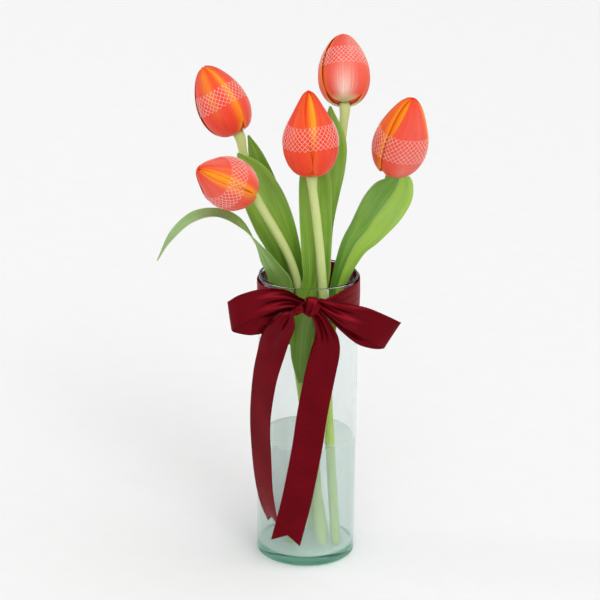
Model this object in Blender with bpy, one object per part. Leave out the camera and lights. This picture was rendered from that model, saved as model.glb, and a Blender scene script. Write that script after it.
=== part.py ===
"""Five tulips in a glass cylinder vase, tied at the neck with a satin ribbon bow.

Metres, +Z up. The origin is the middle of the vase's underside, the bow faces -Y.
Sizes and places are written in millimetres and scaled by MM.
"""
import math

import bmesh
import bpy
import numpy as np
from mathutils import Matrix, Vector

MM = 0.001

# ---- vase and water --------------------------------------------------------
VASE_RADIUS = 42.0
VASE_HEIGHT = 252.0
WALL = 3.0
BASE_THICKNESS = 9.0
FOOT_ROUND = 4.0
INSIDE_ROUND = 2.0
WATER_LEVEL = 107.0
ROUND_STEPS = 40

# ---- clearances ------------------------------------------------------------
GAP = 0.4

# ---- flowers ---------------------------------------------------------------
STEM_RADIUS = 3.9
STEM_SIDES = 8
STEM_RINGS = 19
RECEPTACLE_RADIUS = 5.0
NECK_STEPS = (9.0, 5.0, 2.5)
FOOT_Z = 10.3
POCKET_RISE = 25.0
POCKET_DROP = 0.4
PETAL_ROWS = 8
PETAL_COLUMNS = 5
PETAL_THICKNESS = 0.9
INNER_INSET = 1.5
INNER_LENGTH = 0.93
PISTIL_HEIGHT = 24.0
PISTIL_SIDES = 8
NET_LIFT = 0.8
NET_THICKNESS = 0.4
NET_STEPS = 24
NET_ROWS = 3
OUTLINE_STEPS = 60
LEAF_THICKNESS = 0.9
LEAF_ROWS = 13
LEAF_COLUMNS = 5
LEAF_LEAST_HALF_WIDTH = 0.8

# ---- ribbon ----------------------------------------------------------------
RIBBON_THICKNESS = 0.6
LOOP_ROWS = 25
TAIL_ROWS = 19
KNOT_CENTRE = (3.0, -51.0, 240.0)
KNOT_HALF_SIZE = (8.5, 5.0, 8.5)
NOTCH_DEPTH = 7.0
# The band round the neck: angles away from the knot, the heights of its two
# edges there, and how much its right side rises.
BAND_ANGLES = (0, 18, 38, 56, 90, 180)
BAND_TOP = (241, 243, 247, 248.5, 248.5, 249.5)
BAND_BOTTOM = (234, 230, 225.5, 224, 223.5, 224.5)
BAND_RIGHT_RISE = 1.2

# Side view of a closed bud: distance from its axis as a share of its radius,
# height as a share of its length.
BUD_OUTLINE = (
    (0.26, 0.00), (0.55, 0.03), (0.80, 0.12), (0.96, 0.25), (1.00, 0.38),
    (0.95, 0.55), (0.80, 0.72), (0.58, 0.86), (0.34, 0.95), (0.14, 1.00),
)
# Half the angle that a petal spans, in degrees, from its base to its tip.
OUTER_SPAN = (34, 54, 58, 57, 52, 42, 30, 16)
INNER_SPAN = (36, 54, 57, 57, 54, 46, 34, 18)

# Each flower: bud base, direction of its axis, length, radius, turn in degrees
# (0 has an outer petal facing the bow side), net from and to as shares of the
# length, and the stem's route from the vase floor up to the bud.
FLOWERS = {
    "left_high": {
        "base": (-60.0, 13.7, 369.0), "axis": (-0.47, 0.20, 0.86), "length": 62, "radius": 21.2,
        "turn": -25, "net": (0.40, 0.66),
        "stem": ((16, 6), (-3, 7, 130), (-20, 8, 245), (-33, 10, 278), (-46, 12, 314), (-55, 13, 347)),
    },
    "left_low": {
        "base": (-49.4, -26.8, 330.0), "axis": (-0.68, -0.55, 0.49), "length": 60, "radius": 21.6,
        "turn": 50, "net": (0.40, 0.64),
        "stem": ((14, -14), (3, -12, 130), (-8, -11, 250), (-14, -13, 267), (-24, -17, 287), (-35, -20, 307)),
    },
    "centre": {
        "base": (1.4, -25.0, 345.0), "axis": (-0.05, 0.03, 1.0), "length": 71, "radius": 22.9,
        "turn": 60, "net": (0.36, 0.62),
        "stem": ((26, -12), (18, -19, 130), (11.5, -25, 252), (7, -25, 299), (3, -25, 325)),
    },
    "back": {
        "base": (28.2, 27.7, 390.9), "axis": (-0.03, 0.57, 0.82), "length": 62, "radius": 21.8,
        "turn": 0, "net": (0.48, 0.74),
        "stem": ((6, 18), (6, 15, 130), (8, 12, 252), (16, 14, 290), (21.5, 17, 328), (26.5, 19, 366)),
    },
    "right": {
        "base": (67.5, -1.0, 341.0), "axis": (0.22, -0.18, 0.96), "length": 70, "radius": 22.6,
        "turn": 20, "net": (0.28, 0.58),
        "stem": ((-12, -8), (7, -3, 130), (26, 2, 250), (35, 4, 270), (49, 4, 297), (60, 2, 320)),
    },
}

# Each leaf: stations from the base to the tip as x, y, z, half width, the plan
# angle of the line from its left edge to its right edge (0 is +X, -90 is towards
# the bow side) and how far that line climbs; and its cup, positive where the
# edges curl forward.
LEAVES = {
    "leaf_arching": (-0.15, (
        (-11, -13, 194, 3, -40, 0), (-21, -13, 222, 8.5, -42, 0), (-25, -16, 249, 13.5, -42, 0),
        (-33, -18, 264, 13.5, -50, 0), (-42, -20, 281, 12.5, -62, -0.1), (-57, -23, 301, 11.5, -80, -0.1),
        (-76, -26, 311, 11, -90, 0), (-96, -28, 307.5, 10.5, -90, -0.2), (-113, -30, 292, 8.5, -90, -0.35),
        (-125, -32, 272, 0.8, -90, -0.2))),
    "leaf_left_broad": (0.22, (
        (-13, 0.5, 188, 3, 0, 0), (-13, -1, 222, 8, 0, 0), (-16, -3, 250, 12, 0, 0),
        (-21, -3, 275, 14, 0, 0), (-30, -1, 297, 17, 5, 0), (-40, 3, 319, 17, 8, 0),
        (-49, 5, 338, 12, 10, 0), (-60, 6, 354, 0.8, 10, 0))),
    "leaf_left_slim": (0.15, (
        (-15, 14.5, 200, 3, 0, 0), (-19, 15, 240, 9, 0, 0), (-29, 17.5, 285, 12, 0, 0),
        (-37, 19.5, 320, 11, 0, 0), (-45, 19.5, 348, 6.5, 0, 0), (-51.5, 18.5, 366, 0.8, 0, 0))),
    "leaf_centre": (0.25, (
        (-5, -17, 160, 2.5, 0, 0), (-6, -19, 186, 8, 0, 0), (-4, -19, 218, 10.5, 0, 0),
        (0, -17.5, 234, 9.5, 0, 0), (6, -15, 252, 11, 0, 0), (6, -13, 275, 12.5, 0, 0),
        (5, -9, 305, 13.5, 0, 0), (4, -3, 334, 13, 0, 0), (2, 2, 358, 8, 0, 0), (1, 5, 372, 0.8, 0, 0))),
    "leaf_back_tall": (-0.20, (
        (8, 6.5, 190, 3, 0, 0), (8, 4, 222, 7, 0, 0), (9, 3, 250, 9, 0, 0), (9, 6, 290, 11, 0, 0),
        (13, 8, 319, 12, 0, 0), (16.5, 10, 342, 13, 0, 0), (18.5, 12, 365, 11, 0, 0),
        (16, 14, 393, 0.8, 0, 0))),
    "leaf_right_broad": (-0.20, (
        (17, -8, 185, 3, 0, 0), (20, -9, 215, 5, 0, 0), (24.5, -8, 244, 6.5, 0, 0),
        (36, -9, 276, 11, 0, 0), (48, -9, 293, 15, 0, 0), (60, -9, 311, 18.5, 0, 0),
        (69, -9, 324, 17.5, 0, 0), (73, -9.5, 331, 13, 0, 0), (75, -10, 336, 8, 0, 0))),
}

# Ribbon strips: stations as centre, width, and the direction across the strip.
LOOPS = {
    "ribbon_loop_left": (
        ((-7, -53, 245), 11, (0, 0, 1)), ((-16, -56, 248.5), 15, (0, 0, 1)),
        ((-28, -59, 249), 20, (0, 0, 1)), ((-42, -61, 246), 24, (0, 0, 1)),
        ((-56, -61, 240.5), 25, (-0.06, 0, 1)), ((-63.5, -57, 234), 25, (-0.13, 0, 1)),
        ((-64.5, -52, 231.5), 25, (-0.13, 0, 1)), ((-60, -48, 228), 25, (-0.08, 0, 1)),
        ((-46, -46, 225.5), 25, (0, 0, 1)), ((-30, -46, 228), 22, (0, 0, 1)),
        ((-16, -47, 235.5), 16, (0, 0, 1)), ((-7, -49, 240), 11, (0, 0, 1))),
    "ribbon_loop_right": (
        ((12.8, -53.5, 243), 11, (0, 0, 1)), ((20, -57, 239), 15, (0.15, 0, 1)),
        ((32, -60, 235.5), 21, (0.25, 0, 1)), ((46, -61, 231), 24.5, (0.33, 0, 1)),
        ((60, -61, 224.5), 25.5, (0.50, 0, 1)), ((68, -57, 218.5), 26.5, (0.58, 0, 1)),
        ((69, -52, 216.5), 26.5, (0.58, 0, 1)), ((64, -48, 214.5), 26, (0.48, 0, 1)),
        ((54, -46, 215), 25, (0.30, 0, 1)), ((42, -46, 218.5), 23, (0.2, 0, 1)),
        ((28, -46.5, 227), 18, (0.1, 0, 1)), ((12.8, -49, 238.5), 11, (0, 0, 1))),
}
TAILS = {
    "ribbon_tail_left": (
        ((-5, -57.5, 243), 11, (0.45, -0.1, 0.9)), ((-13, -62, 239), 15, (0.62, -0.2, 0.75)),
        ((-20, -62, 229), 20, (0.8, -0.35, 0.45)), ((-27, -57, 214), 24, (0.82, -0.45, 0.3)),
        ((-31, -52, 198), 25, (0.8, -0.55, 0.2)), ((-36, -47, 174), 25, (0.76, -0.64, 0.1)),
        ((-39, -43, 139), 25, (0.68, -0.73, 0)), ((-38, -41, 103), 25, (0.66, -0.75, 0)),
        ((-36, -40, 77), 25, (0.6, -0.8, 0)), ((-32, -40, 56), 25, (0.54, -0.84, 0)),
        ((-27, -40, 40), 25, (0.44, -0.9, 0))),
    "ribbon_tail_right": (
        ((9, -53, 230.5), 11, (1, 0, 0)), ((13, -53.5, 221), 16, (1, 0, 0)),
        ((15, -54, 211), 21, (1, 0, 0.05)), ((14, -54.5, 200), 24, (1, 0, -0.1)),
        ((10, -54, 180), 25, (1, 0, -0.15)), ((4, -52.5, 144), 25, (1, 0, -0.16)),
        ((0, -52, 113), 25, (1, 0, -0.17)), ((-7, -52, 72), 25, (1, 0, -0.2)),
        ((-12, -52, 49), 25, (1, 0, -0.2)), ((-17, -52, 28), 25, (1, 0, -0.2))),
}


def clear_scene():
    for thing in list(bpy.data.objects):
        bpy.data.objects.remove(thing, do_unlink=True)


def linear(channel):
    """A display colour channel, 0 to 255, as the linear value that shaders use."""
    value = channel / 255
    if value <= 0.04045:
        return value / 12.92
    return ((value + 0.055) / 1.055) ** 2.4


def make_material(name, red, green, blue, roughness, transmission=0.0):
    material = bpy.data.materials.new(name)
    material.use_nodes = True
    shader = material.node_tree.nodes["Principled BSDF"]
    shader.inputs["Base Color"].default_value = (linear(red), linear(green), linear(blue), 1)
    shader.inputs["Roughness"].default_value = roughness
    shader.inputs["Metallic"].default_value = 0.0
    shader.inputs["Transmission Weight"].default_value = transmission
    return material


def add_object(name, data, material, parent=None):
    if material:
        data.materials.append(material)
    thing = bpy.data.objects.new(name, data)
    bpy.context.collection.objects.link(thing)
    thing.parent = parent
    return thing


def finish_mesh(name, bm, smooth_angle=40):
    """The bmesh as a mesh in metres, round where its faces meet gently."""
    bmesh.ops.recalc_face_normals(bm, faces=bm.faces)
    mesh = bpy.data.meshes.new(name)
    bm.to_mesh(mesh)
    bm.free()
    mesh.shade_smooth()
    mesh.set_sharp_from_angle(angle=math.radians(smooth_angle))
    return mesh


def smooth_stations(stations, count, place=3):
    """Evenly spaced stations on a smooth curve through the given ones.

    Each station is a row of numbers. The first ones, as many as place says,
    are its position, and the rest ride along.
    """
    rows = np.array(stations, dtype=float)
    padded = np.vstack([2 * rows[0] - rows[1], rows, 2 * rows[-1] - rows[-2]])
    fine = []
    for a, b, c, d in zip(padded, padded[1:], padded[2:], padded[3:]):
        for t in np.arange(0, 1, 0.05):
            fine.append(b + 0.5 * t * (c - a + t * (2 * a - 5 * b + 4 * c - d + t * (3 * (b - c) + d - a))))
    fine = np.array(fine + [rows[-1]])
    steps = np.linalg.norm(np.diff(fine[:, :place], axis=0), axis=1)
    along = np.concatenate([[0], np.cumsum(steps)])
    wanted = np.linspace(0, along[-1], count)
    columns = [np.interp(wanted, along, column) for column in fine.T]
    return np.array(columns).T


def spread(values, count):
    """A short list of values, read at evenly spaced places."""
    return np.interp(np.linspace(0, 1, count), np.linspace(0, 1, len(values)), values)


def turned(name, outline, steps, material, parent=None):
    """A body turned round the Z axis from an outline that starts and ends on it."""
    bm = bmesh.new()
    rings = []
    for radius, height in outline:
        if radius == 0:
            rings.append([bm.verts.new((0, 0, height * MM))])
            continue
        ring = []
        for step in range(steps):
            angle = 2 * math.pi * step / steps
            place = Vector((radius * math.cos(angle), radius * math.sin(angle), height))
            ring.append(bm.verts.new(place * MM))
        rings.append(ring)
    for low, high in zip(rings, rings[1:]):
        for step in range(steps):
            after = (step + 1) % steps
            if len(low) == 1:
                bm.faces.new((low[0], high[after], high[step]))
            elif len(high) == 1:
                bm.faces.new((low[step], low[after], high[0]))
            else:
                bm.faces.new((low[step], low[after], high[after], high[step]))
    return add_object(name, finish_mesh(name, bm), material, parent)


def tube(name, path, radii, sides, material):
    """A round tube along a path, with flat ends."""
    points = [Vector(point) * MM for point in path]
    bm = bmesh.new()
    side = Vector((0, 1, 0))
    rings = []
    for index, point in enumerate(points):
        before = points[max(index - 1, 0)]
        after = points[min(index + 1, len(points) - 1)]
        tangent = (after - before).normalized()
        side = (side - tangent * side.dot(tangent)).normalized()
        across = tangent.cross(side)
        ring = []
        for step in range(sides):
            angle = 2 * math.pi * step / sides
            reach = float(radii[index]) * MM
            ring.append(bm.verts.new(point + reach * (math.cos(angle) * side + math.sin(angle) * across)))
        rings.append(ring)
    for low, high in zip(rings, rings[1:]):
        for step in range(sides):
            after = (step + 1) % sides
            bm.faces.new((low[step], low[after], high[after], high[step]))
    bm.faces.new(rings[0])
    bm.faces.new(rings[-1])
    return add_object(name, finish_mesh(name, bm), material)


def shell(name, grid, thickness, offset, material, parent=None, ring=False):
    """A thin closed shell over a grid of points, thickened by Solidify.

    An offset of -1 keeps the grid as the outer face, 0 centres it and 1 makes
    it the inner face. A ring's last column joins its first.
    """
    bm = bmesh.new()
    rows = [[bm.verts.new(Vector(point) * MM) for point in row] for row in grid]
    columns = len(rows[0])
    last = columns if ring else columns - 1
    for low, high in zip(rows, rows[1:]):
        for column in range(last):
            after = (column + 1) % columns
            bm.faces.new((low[column], low[after], high[after], high[column]))
    mesh = bpy.data.meshes.new(name)
    bm.to_mesh(mesh)
    bm.free()
    mesh.shade_smooth()
    thing = add_object(name, mesh, material, parent)
    solidify = thing.modifiers.new("thickness", "SOLIDIFY")
    solidify.thickness = thickness * MM
    solidify.offset = offset
    return thing


def make_vase(material):
    """A plain cylinder with a thick base, a rounded foot and a rounded lip."""
    inner = VASE_RADIUS - WALL
    lip = WALL / 2
    outline = [(0, 0), (VASE_RADIUS - FOOT_ROUND, 0)]
    for degrees in (30, 60, 90):
        angle = math.radians(degrees)
        radius = VASE_RADIUS - FOOT_ROUND * (1 - math.sin(angle))
        outline.append((radius, FOOT_ROUND * (1 - math.cos(angle))))
    outline.append((VASE_RADIUS, VASE_HEIGHT - lip))
    for degrees in (45, 90, 135):
        angle = math.radians(degrees)
        radius = VASE_RADIUS - lip + lip * math.cos(angle)
        outline.append((radius, VASE_HEIGHT - lip + lip * math.sin(angle)))
    outline += [(inner, VASE_HEIGHT - lip), (inner, BASE_THICKNESS + INSIDE_ROUND)]
    outline += [(inner - INSIDE_ROUND, BASE_THICKNESS), (0, BASE_THICKNESS)]
    return turned("glass_vase", outline, ROUND_STEPS, material)


def make_water(material, stem_routes):
    """Water up to its level, with a clear pocket round each stem."""
    radius = VASE_RADIUS - WALL - GAP
    floor = BASE_THICKNESS + GAP
    outline = [(0, floor), (radius - INSIDE_ROUND, floor), (radius, floor + INSIDE_ROUND)]
    outline += [(radius, WATER_LEVEL), (0, WATER_LEVEL)]
    water = turned("water", outline, ROUND_STEPS, material)
    for name, route in stem_routes.items():
        below = route[0] + (route[0] - route[1]) * POCKET_DROP
        wet = [below] + [point for point in route if point[2] < WATER_LEVEL + POCKET_RISE]
        radii = [STEM_RADIUS + GAP] * len(wet)
        cutter = tube("pocket_" + name, wet, radii, STEM_SIDES, None)
        cutter.hide_render = True
        cutter.display_type = "WIRE"
        cut = water.modifiers.new("pocket " + name, "BOOLEAN")
        cut.operation = "DIFFERENCE"
        cut.object = cutter
    return water


def stem_route(flower):
    """Points along a stem, from its cut end up to just under the bud."""
    foot, *rest = flower["stem"]
    base = np.array(flower["base"])
    axis = np.array(flower["axis"]) / np.linalg.norm(flower["axis"])
    low, middle, high = NECK_STEPS
    points = [(foot[0], foot[1], FOOT_Z)] + list(rest) + [base - low * axis, base - middle * axis]
    neck = [base - high * axis, base - GAP * axis]
    return np.vstack([smooth_stations(points, STEM_RINGS - len(neck)), neck])


def bud_frame(name, flower):
    """An empty at the bud's base: Z up the bud, X towards the bow side."""
    up = Vector(flower["axis"]).normalized()
    front = Vector((0, -1, 0))
    front = (front - up * front.dot(up)).normalized()
    side = up.cross(front)
    frame = bpy.data.objects.new("bud_frame_" + name, None)
    bpy.context.collection.objects.link(frame)
    turn = Matrix((front, side, up)).transposed().to_4x4()
    frame.matrix_world = Matrix.Translation(Vector(flower["base"]) * MM) @ turn
    return frame


def petal_grid(flower, turn, spans, inset, lift, length_share):
    """Points over one petal, from its base to its tip and from edge to edge."""
    outline = smooth_stations(BUD_OUTLINE, PETAL_ROWS, place=2)
    grid = []
    for (radius_share, height_share), span in zip(outline, spread(spans, PETAL_ROWS)):
        radius = radius_share * flower["radius"] - inset
        height = lift + height_share * flower["length"] * length_share
        row = []
        for share in np.linspace(-1, 1, PETAL_COLUMNS):
            angle = math.radians(turn + span * share)
            row.append((radius * math.cos(angle), radius * math.sin(angle), height))
        grid.append(row)
    return grid


def make_bud(name, flower, petal_material, pistil_material, net_material):
    frame = bud_frame(name, flower)
    for index in range(3):
        turn = flower["turn"] + 120 * index
        grid = petal_grid(flower, turn, OUTER_SPAN, 0, 0, 1)
        shell(f"petal_{name}_outer_{index + 1}", grid, PETAL_THICKNESS, -1, petal_material, frame)
        grid = petal_grid(flower, turn + 60, INNER_SPAN, INNER_INSET, INNER_INSET, INNER_LENGTH)
        shell(f"petal_{name}_inner_{index + 1}", grid, PETAL_THICKNESS, -1, petal_material, frame)
    top = PISTIL_HEIGHT
    outline = [(0, 0), (2.2, 0), (3.0, top * 0.3), (2.6, top * 0.8), (4.0, top * 0.9), (3.2, top), (0, top)]
    turned("pistil_" + name, outline, PISTIL_SIDES, pistil_material, frame)

    low, high = flower["net"]
    outline = smooth_stations(BUD_OUTLINE, OUTLINE_STEPS, place=2)
    grid = []
    for height_share in np.linspace(low, high, NET_ROWS):
        radius = np.interp(height_share, outline[:, 1], outline[:, 0]) * flower["radius"] + NET_LIFT
        row = []
        for step in range(NET_STEPS):
            angle = 2 * math.pi * step / NET_STEPS
            row.append((radius * math.cos(angle), radius * math.sin(angle), height_share * flower["length"]))
        grid.append(row)
    shell("bud_net_" + name, grid, NET_THICKNESS, 1, net_material, frame, ring=True)


def make_leaf(name, cup, stations, material):
    """A leaf blade, cupped across its width and narrowing to its tip."""
    rows = smooth_stations(stations, LEAF_ROWS)
    tangents = np.gradient(rows[:, :3], axis=0)
    grid = []
    for row, tangent in zip(rows, tangents):
        tangent = Vector(tangent).normalized()
        heading = math.radians(row[4])
        across_way = Vector((math.cos(heading), math.sin(heading), float(row[5])))
        across_way = (across_way - tangent * across_way.dot(tangent)).normalized()
        face = across_way.cross(tangent)
        half_width = max(row[3], LEAF_LEAST_HALF_WIDTH)
        points = []
        for share in np.linspace(-1, 1, LEAF_COLUMNS):
            offset = across_way * float(share * half_width) + face * float(cup * half_width * share * share)
            points.append(Vector(row[:3]) + offset)
        grid.append(points)
    return shell(name, grid, LEAF_THICKNESS, 0, material)


def make_strip(name, stations, along, material, notch=0.0):
    """A strip of ribbon, with a swallow-tail notch in its far end if asked."""
    flat = [(*centre, width, *across_way) for centre, width, across_way in stations]
    rows = smooth_stations(flat, along)
    tangents = np.gradient(rows[:, :3], axis=0)
    grid = []
    for index, (row, tangent) in enumerate(zip(rows, tangents)):
        tangent = Vector(tangent).normalized()
        across_way = Vector(row[4:7])
        across_way = (across_way - tangent * across_way.dot(tangent)).normalized()
        centre = Vector(row[:3])
        half_width = float(row[3]) / 2
        middle = centre
        if index == len(rows) - 1:
            middle = centre - tangent * notch
        grid.append([centre - across_way * half_width, middle, centre + across_way * half_width])
    return shell(name, grid, RIBBON_THICKNESS, 0, material)


def make_band(material):
    """The ribbon round the neck, full width at the back and drawn in at the knot."""
    inner = VASE_RADIUS + GAP
    grid = []
    for edge in (BAND_BOTTOM, BAND_TOP):
        row = []
        for step in range(ROUND_STEPS):
            angle = 360 * step / ROUND_STEPS
            away = abs((angle + 90 + 180) % 360 - 180)
            radians = math.radians(angle)
            height = np.interp(away, BAND_ANGLES, edge) + BAND_RIGHT_RISE * math.cos(radians)
            row.append((inner * math.cos(radians), inner * math.sin(radians), height))
        grid.append(row)
    return shell("ribbon_band", grid, RIBBON_THICKNESS, 1, material, ring=True)


def make_knot(material):
    bm = bmesh.new()
    bmesh.ops.create_icosphere(bm, subdivisions=2, radius=1)
    bmesh.ops.scale(bm, vec=Vector(KNOT_HALF_SIZE) * MM, verts=bm.verts)
    knot = add_object("ribbon_knot", finish_mesh("ribbon_knot", bm), material)
    knot.location = Vector(KNOT_CENTRE) * MM
    return knot


def main():
    clear_scene()
    glass = make_material("clear_glass", 225, 240, 234, 0.02, transmission=1.0)
    water = make_material("water", 226, 242, 236, 0.02, transmission=1.0)
    stem_green = make_material("stem_green", 176, 192, 116, 0.45)
    leaf_green = make_material("leaf_green", 120, 160, 70, 0.42)
    petal_coral = make_material("petal_coral", 240, 96, 52, 0.45)
    pistil_green = make_material("pistil_green", 196, 204, 120, 0.5)
    net_white = make_material("net_white", 244, 226, 224, 0.5)
    satin = make_material("burgundy_satin", 110, 12, 28, 0.35)

    make_vase(glass)
    routes = {name: stem_route(flower) for name, flower in FLOWERS.items()}
    make_water(water, routes)
    radii = np.full(STEM_RINGS, STEM_RADIUS)
    radii[-1] = RECEPTACLE_RADIUS
    for name, flower in FLOWERS.items():
        tube("stem_" + name, routes[name], radii, STEM_SIDES, stem_green)
        make_bud(name, flower, petal_coral, pistil_green, net_white)
    for name, (cup, stations) in LEAVES.items():
        make_leaf(name, cup, stations, leaf_green)

    make_band(satin)
    make_knot(satin)
    for name, stations in LOOPS.items():
        make_strip(name, stations, LOOP_ROWS, satin)
    for name, stations in TAILS.items():
        make_strip(name, stations, TAIL_ROWS, satin, notch=NOTCH_DEPTH)


main()
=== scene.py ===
"""Looks for five tulips in a glass cylinder vase, tied at the neck with a satin bow.

Every place and size is in millimetres, scaled by MM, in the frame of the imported
model: the origin is the middle of the vase's underside, and the bow faces -Y.
"""
import math

import bmesh
import bpy
import numpy as np
from mathutils import Matrix, Vector
from mathutils.bvhtree import BVHTree


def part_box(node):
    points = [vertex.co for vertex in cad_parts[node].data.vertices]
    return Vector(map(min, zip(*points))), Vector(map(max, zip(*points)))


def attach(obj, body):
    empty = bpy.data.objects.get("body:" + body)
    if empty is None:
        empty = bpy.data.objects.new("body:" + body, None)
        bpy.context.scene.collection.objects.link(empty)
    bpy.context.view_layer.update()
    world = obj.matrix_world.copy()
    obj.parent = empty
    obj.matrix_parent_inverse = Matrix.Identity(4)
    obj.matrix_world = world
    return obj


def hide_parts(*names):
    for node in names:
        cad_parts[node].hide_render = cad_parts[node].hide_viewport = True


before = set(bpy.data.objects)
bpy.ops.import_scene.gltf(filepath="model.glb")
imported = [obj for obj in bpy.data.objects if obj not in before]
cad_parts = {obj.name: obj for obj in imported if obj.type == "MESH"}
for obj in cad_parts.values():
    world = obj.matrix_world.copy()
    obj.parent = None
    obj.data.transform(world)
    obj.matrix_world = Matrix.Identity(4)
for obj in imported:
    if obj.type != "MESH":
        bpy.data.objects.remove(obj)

bl_info = {
    "name": "Tulips in a Vase",
    "version": (1, 0, 0),
    "blender": (4, 5, 0),
    "location": "View3D > Sidebar > Tulips",
    "description": "Builds tulips, leaves, water, a glass vase and a satin bow",
    "category": "Add Mesh",
}

MM = 0.001
CURVE_STEP = 0.025
BODY = "root"

# ---- vase and water --------------------------------------------------------
glass_low, glass_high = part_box("glass_vase")
VASE_RADIUS = (glass_high[0] - glass_low[0]) / 2 / MM
VASE_HEIGHT = glass_high[2] / MM
WATER_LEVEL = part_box("water")[1][2] / MM
WALL = 2.1
BASE_THICKNESS = 9.0
FOOT_ROUND = 4.0
PUNT_RISE = 1.6
WET_OVERLAP = 0.12
GAP = 0.4
ROUND_STEPS = 144

# ---- flowers ---------------------------------------------------------------
STEM_RADIUS = 3.9
RECEPTACLE_RADIUS = 5.0
FOOT_Z = 10.3
STEM_RINGS = 90
STEM_EASE_REACH = 9
NECK_STEPS = (-9.0, -5.0, -2.5, 0.8)
INNER_INSET = 0.85
INNER_LENGTH = 0.975
PISTIL_HEIGHT = 24.0
PISTIL_OUTLINE = (
    (0, 0), (2.0, 0), (2.9, 0.25), (2.7, 0.6), (2.2, 0.82),
    (2.8, 0.88), (3.7, 0.93), (3.4, 0.98), (1.8, 1.0), (0, 0.98),
)
PISTIL_LOBES_FROM = 0.84
STAMEN_COUNT = 6
STAMEN_RING = 4.2
THREAD_LINE = ((0, 0, 0.5), (0.8, 0, 5), (1.4, 0, 10))
THREAD_RADII = (0.6, 0.5, 0.4)
HEAD_LINE = ((1.4, 0, 9.5), (1.6, 0, 11), (1.8, 0, 15), (2.0, 0, 19), (2.0, 0, 20.5))
HEAD_RADII = (0.3, 1.1, 1.3, 1.1, 0.3)
BUD_OUTLINE = (
    (0.26, 0.00), (0.55, 0.03), (0.80, 0.12), (0.96, 0.25), (1.00, 0.38),
    (0.95, 0.55), (0.80, 0.72), (0.58, 0.86), (0.34, 0.95), (0.12, 0.995), (0.03, 1.00),
)
OUTER_SPAN = (22, 48, 59, 60, 59, 57, 54, 50)
INNER_SPAN = (36, 56, 60, 60, 60, 58, 54, 50)
LAP = 6.0
PETAL_ROWS = 41
PETAL_COLUMNS = 25
NET_STEPS = 26
NET_WAVE = 0.008
NET_SEARCH_FROM, NET_SEARCH_REACH = 6, 14
NET_LIFT, NET_LIFT_SWAP = 0.16, 0.05

# Each flower: bud base, direction of its axis, length, radius, turn in degrees
# (0 has an outer petal facing the bow side), net from and to as shares of the
# length, and the stem's route from the vase floor up to the bud.
FLOWERS = {
    "left_high": {
        "base": (-60.0, 13.7, 369.0), "axis": (-0.47, 0.20, 0.86), "length": 62, "radius": 21.2,
        "turn": -25, "net": (0.40, 0.66),
        "stem": ((16, 6), (-3, 7, 130), (-20, 8, 245), (-33, 10, 278), (-46, 12, 314), (-55, 13, 347)),
    },
    "left_low": {
        "base": (-49.4, -26.8, 330.0), "axis": (-0.68, -0.55, 0.49), "length": 60, "radius": 21.6,
        "turn": 78, "net": (0.40, 0.64), "taper": 0.28,
        "stem": (
            (14, -14), (3, -12, 130), (-8, -11, 250), (-14, -13, 267), (-24, -17, 287), (-35, -20, 307)),
    },
    "centre": {
        "base": (1.4, -25.0, 345.0), "axis": (-0.05, 0.03, 1.0), "length": 71, "radius": 22.9,
        "turn": 60, "net": (0.36, 0.62), "taper": 0.34,
        "stem": ((26, -12), (18, -19, 130), (11.5, -25, 252), (7, -25, 299), (3, -25, 325)),
    },
    "back": {
        "base": (28.2, 27.7, 390.9), "axis": (-0.03, 0.57, 0.82), "length": 62, "radius": 21.8,
        "turn": 0, "net": (0.48, 0.74), "green_foot": 0.24,
        "stem": ((6, 18), (6, 15, 130), (8, 12, 252), (16, 14, 290), (21.5, 17, 328), (26.5, 19, 366)),
    },
    "right": {
        "base": (67.5, -1.0, 341.0), "axis": (0.22, -0.18, 0.96), "length": 70, "radius": 22.6,
        "turn": 20, "net": (0.28, 0.58), "taper": 0.14,
        "stem": ((-12, -8), (7, -3, 130), (26, 2, 250), (35, 4, 270), (49, 4, 297), (60, 2, 320)),
    },
}

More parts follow.
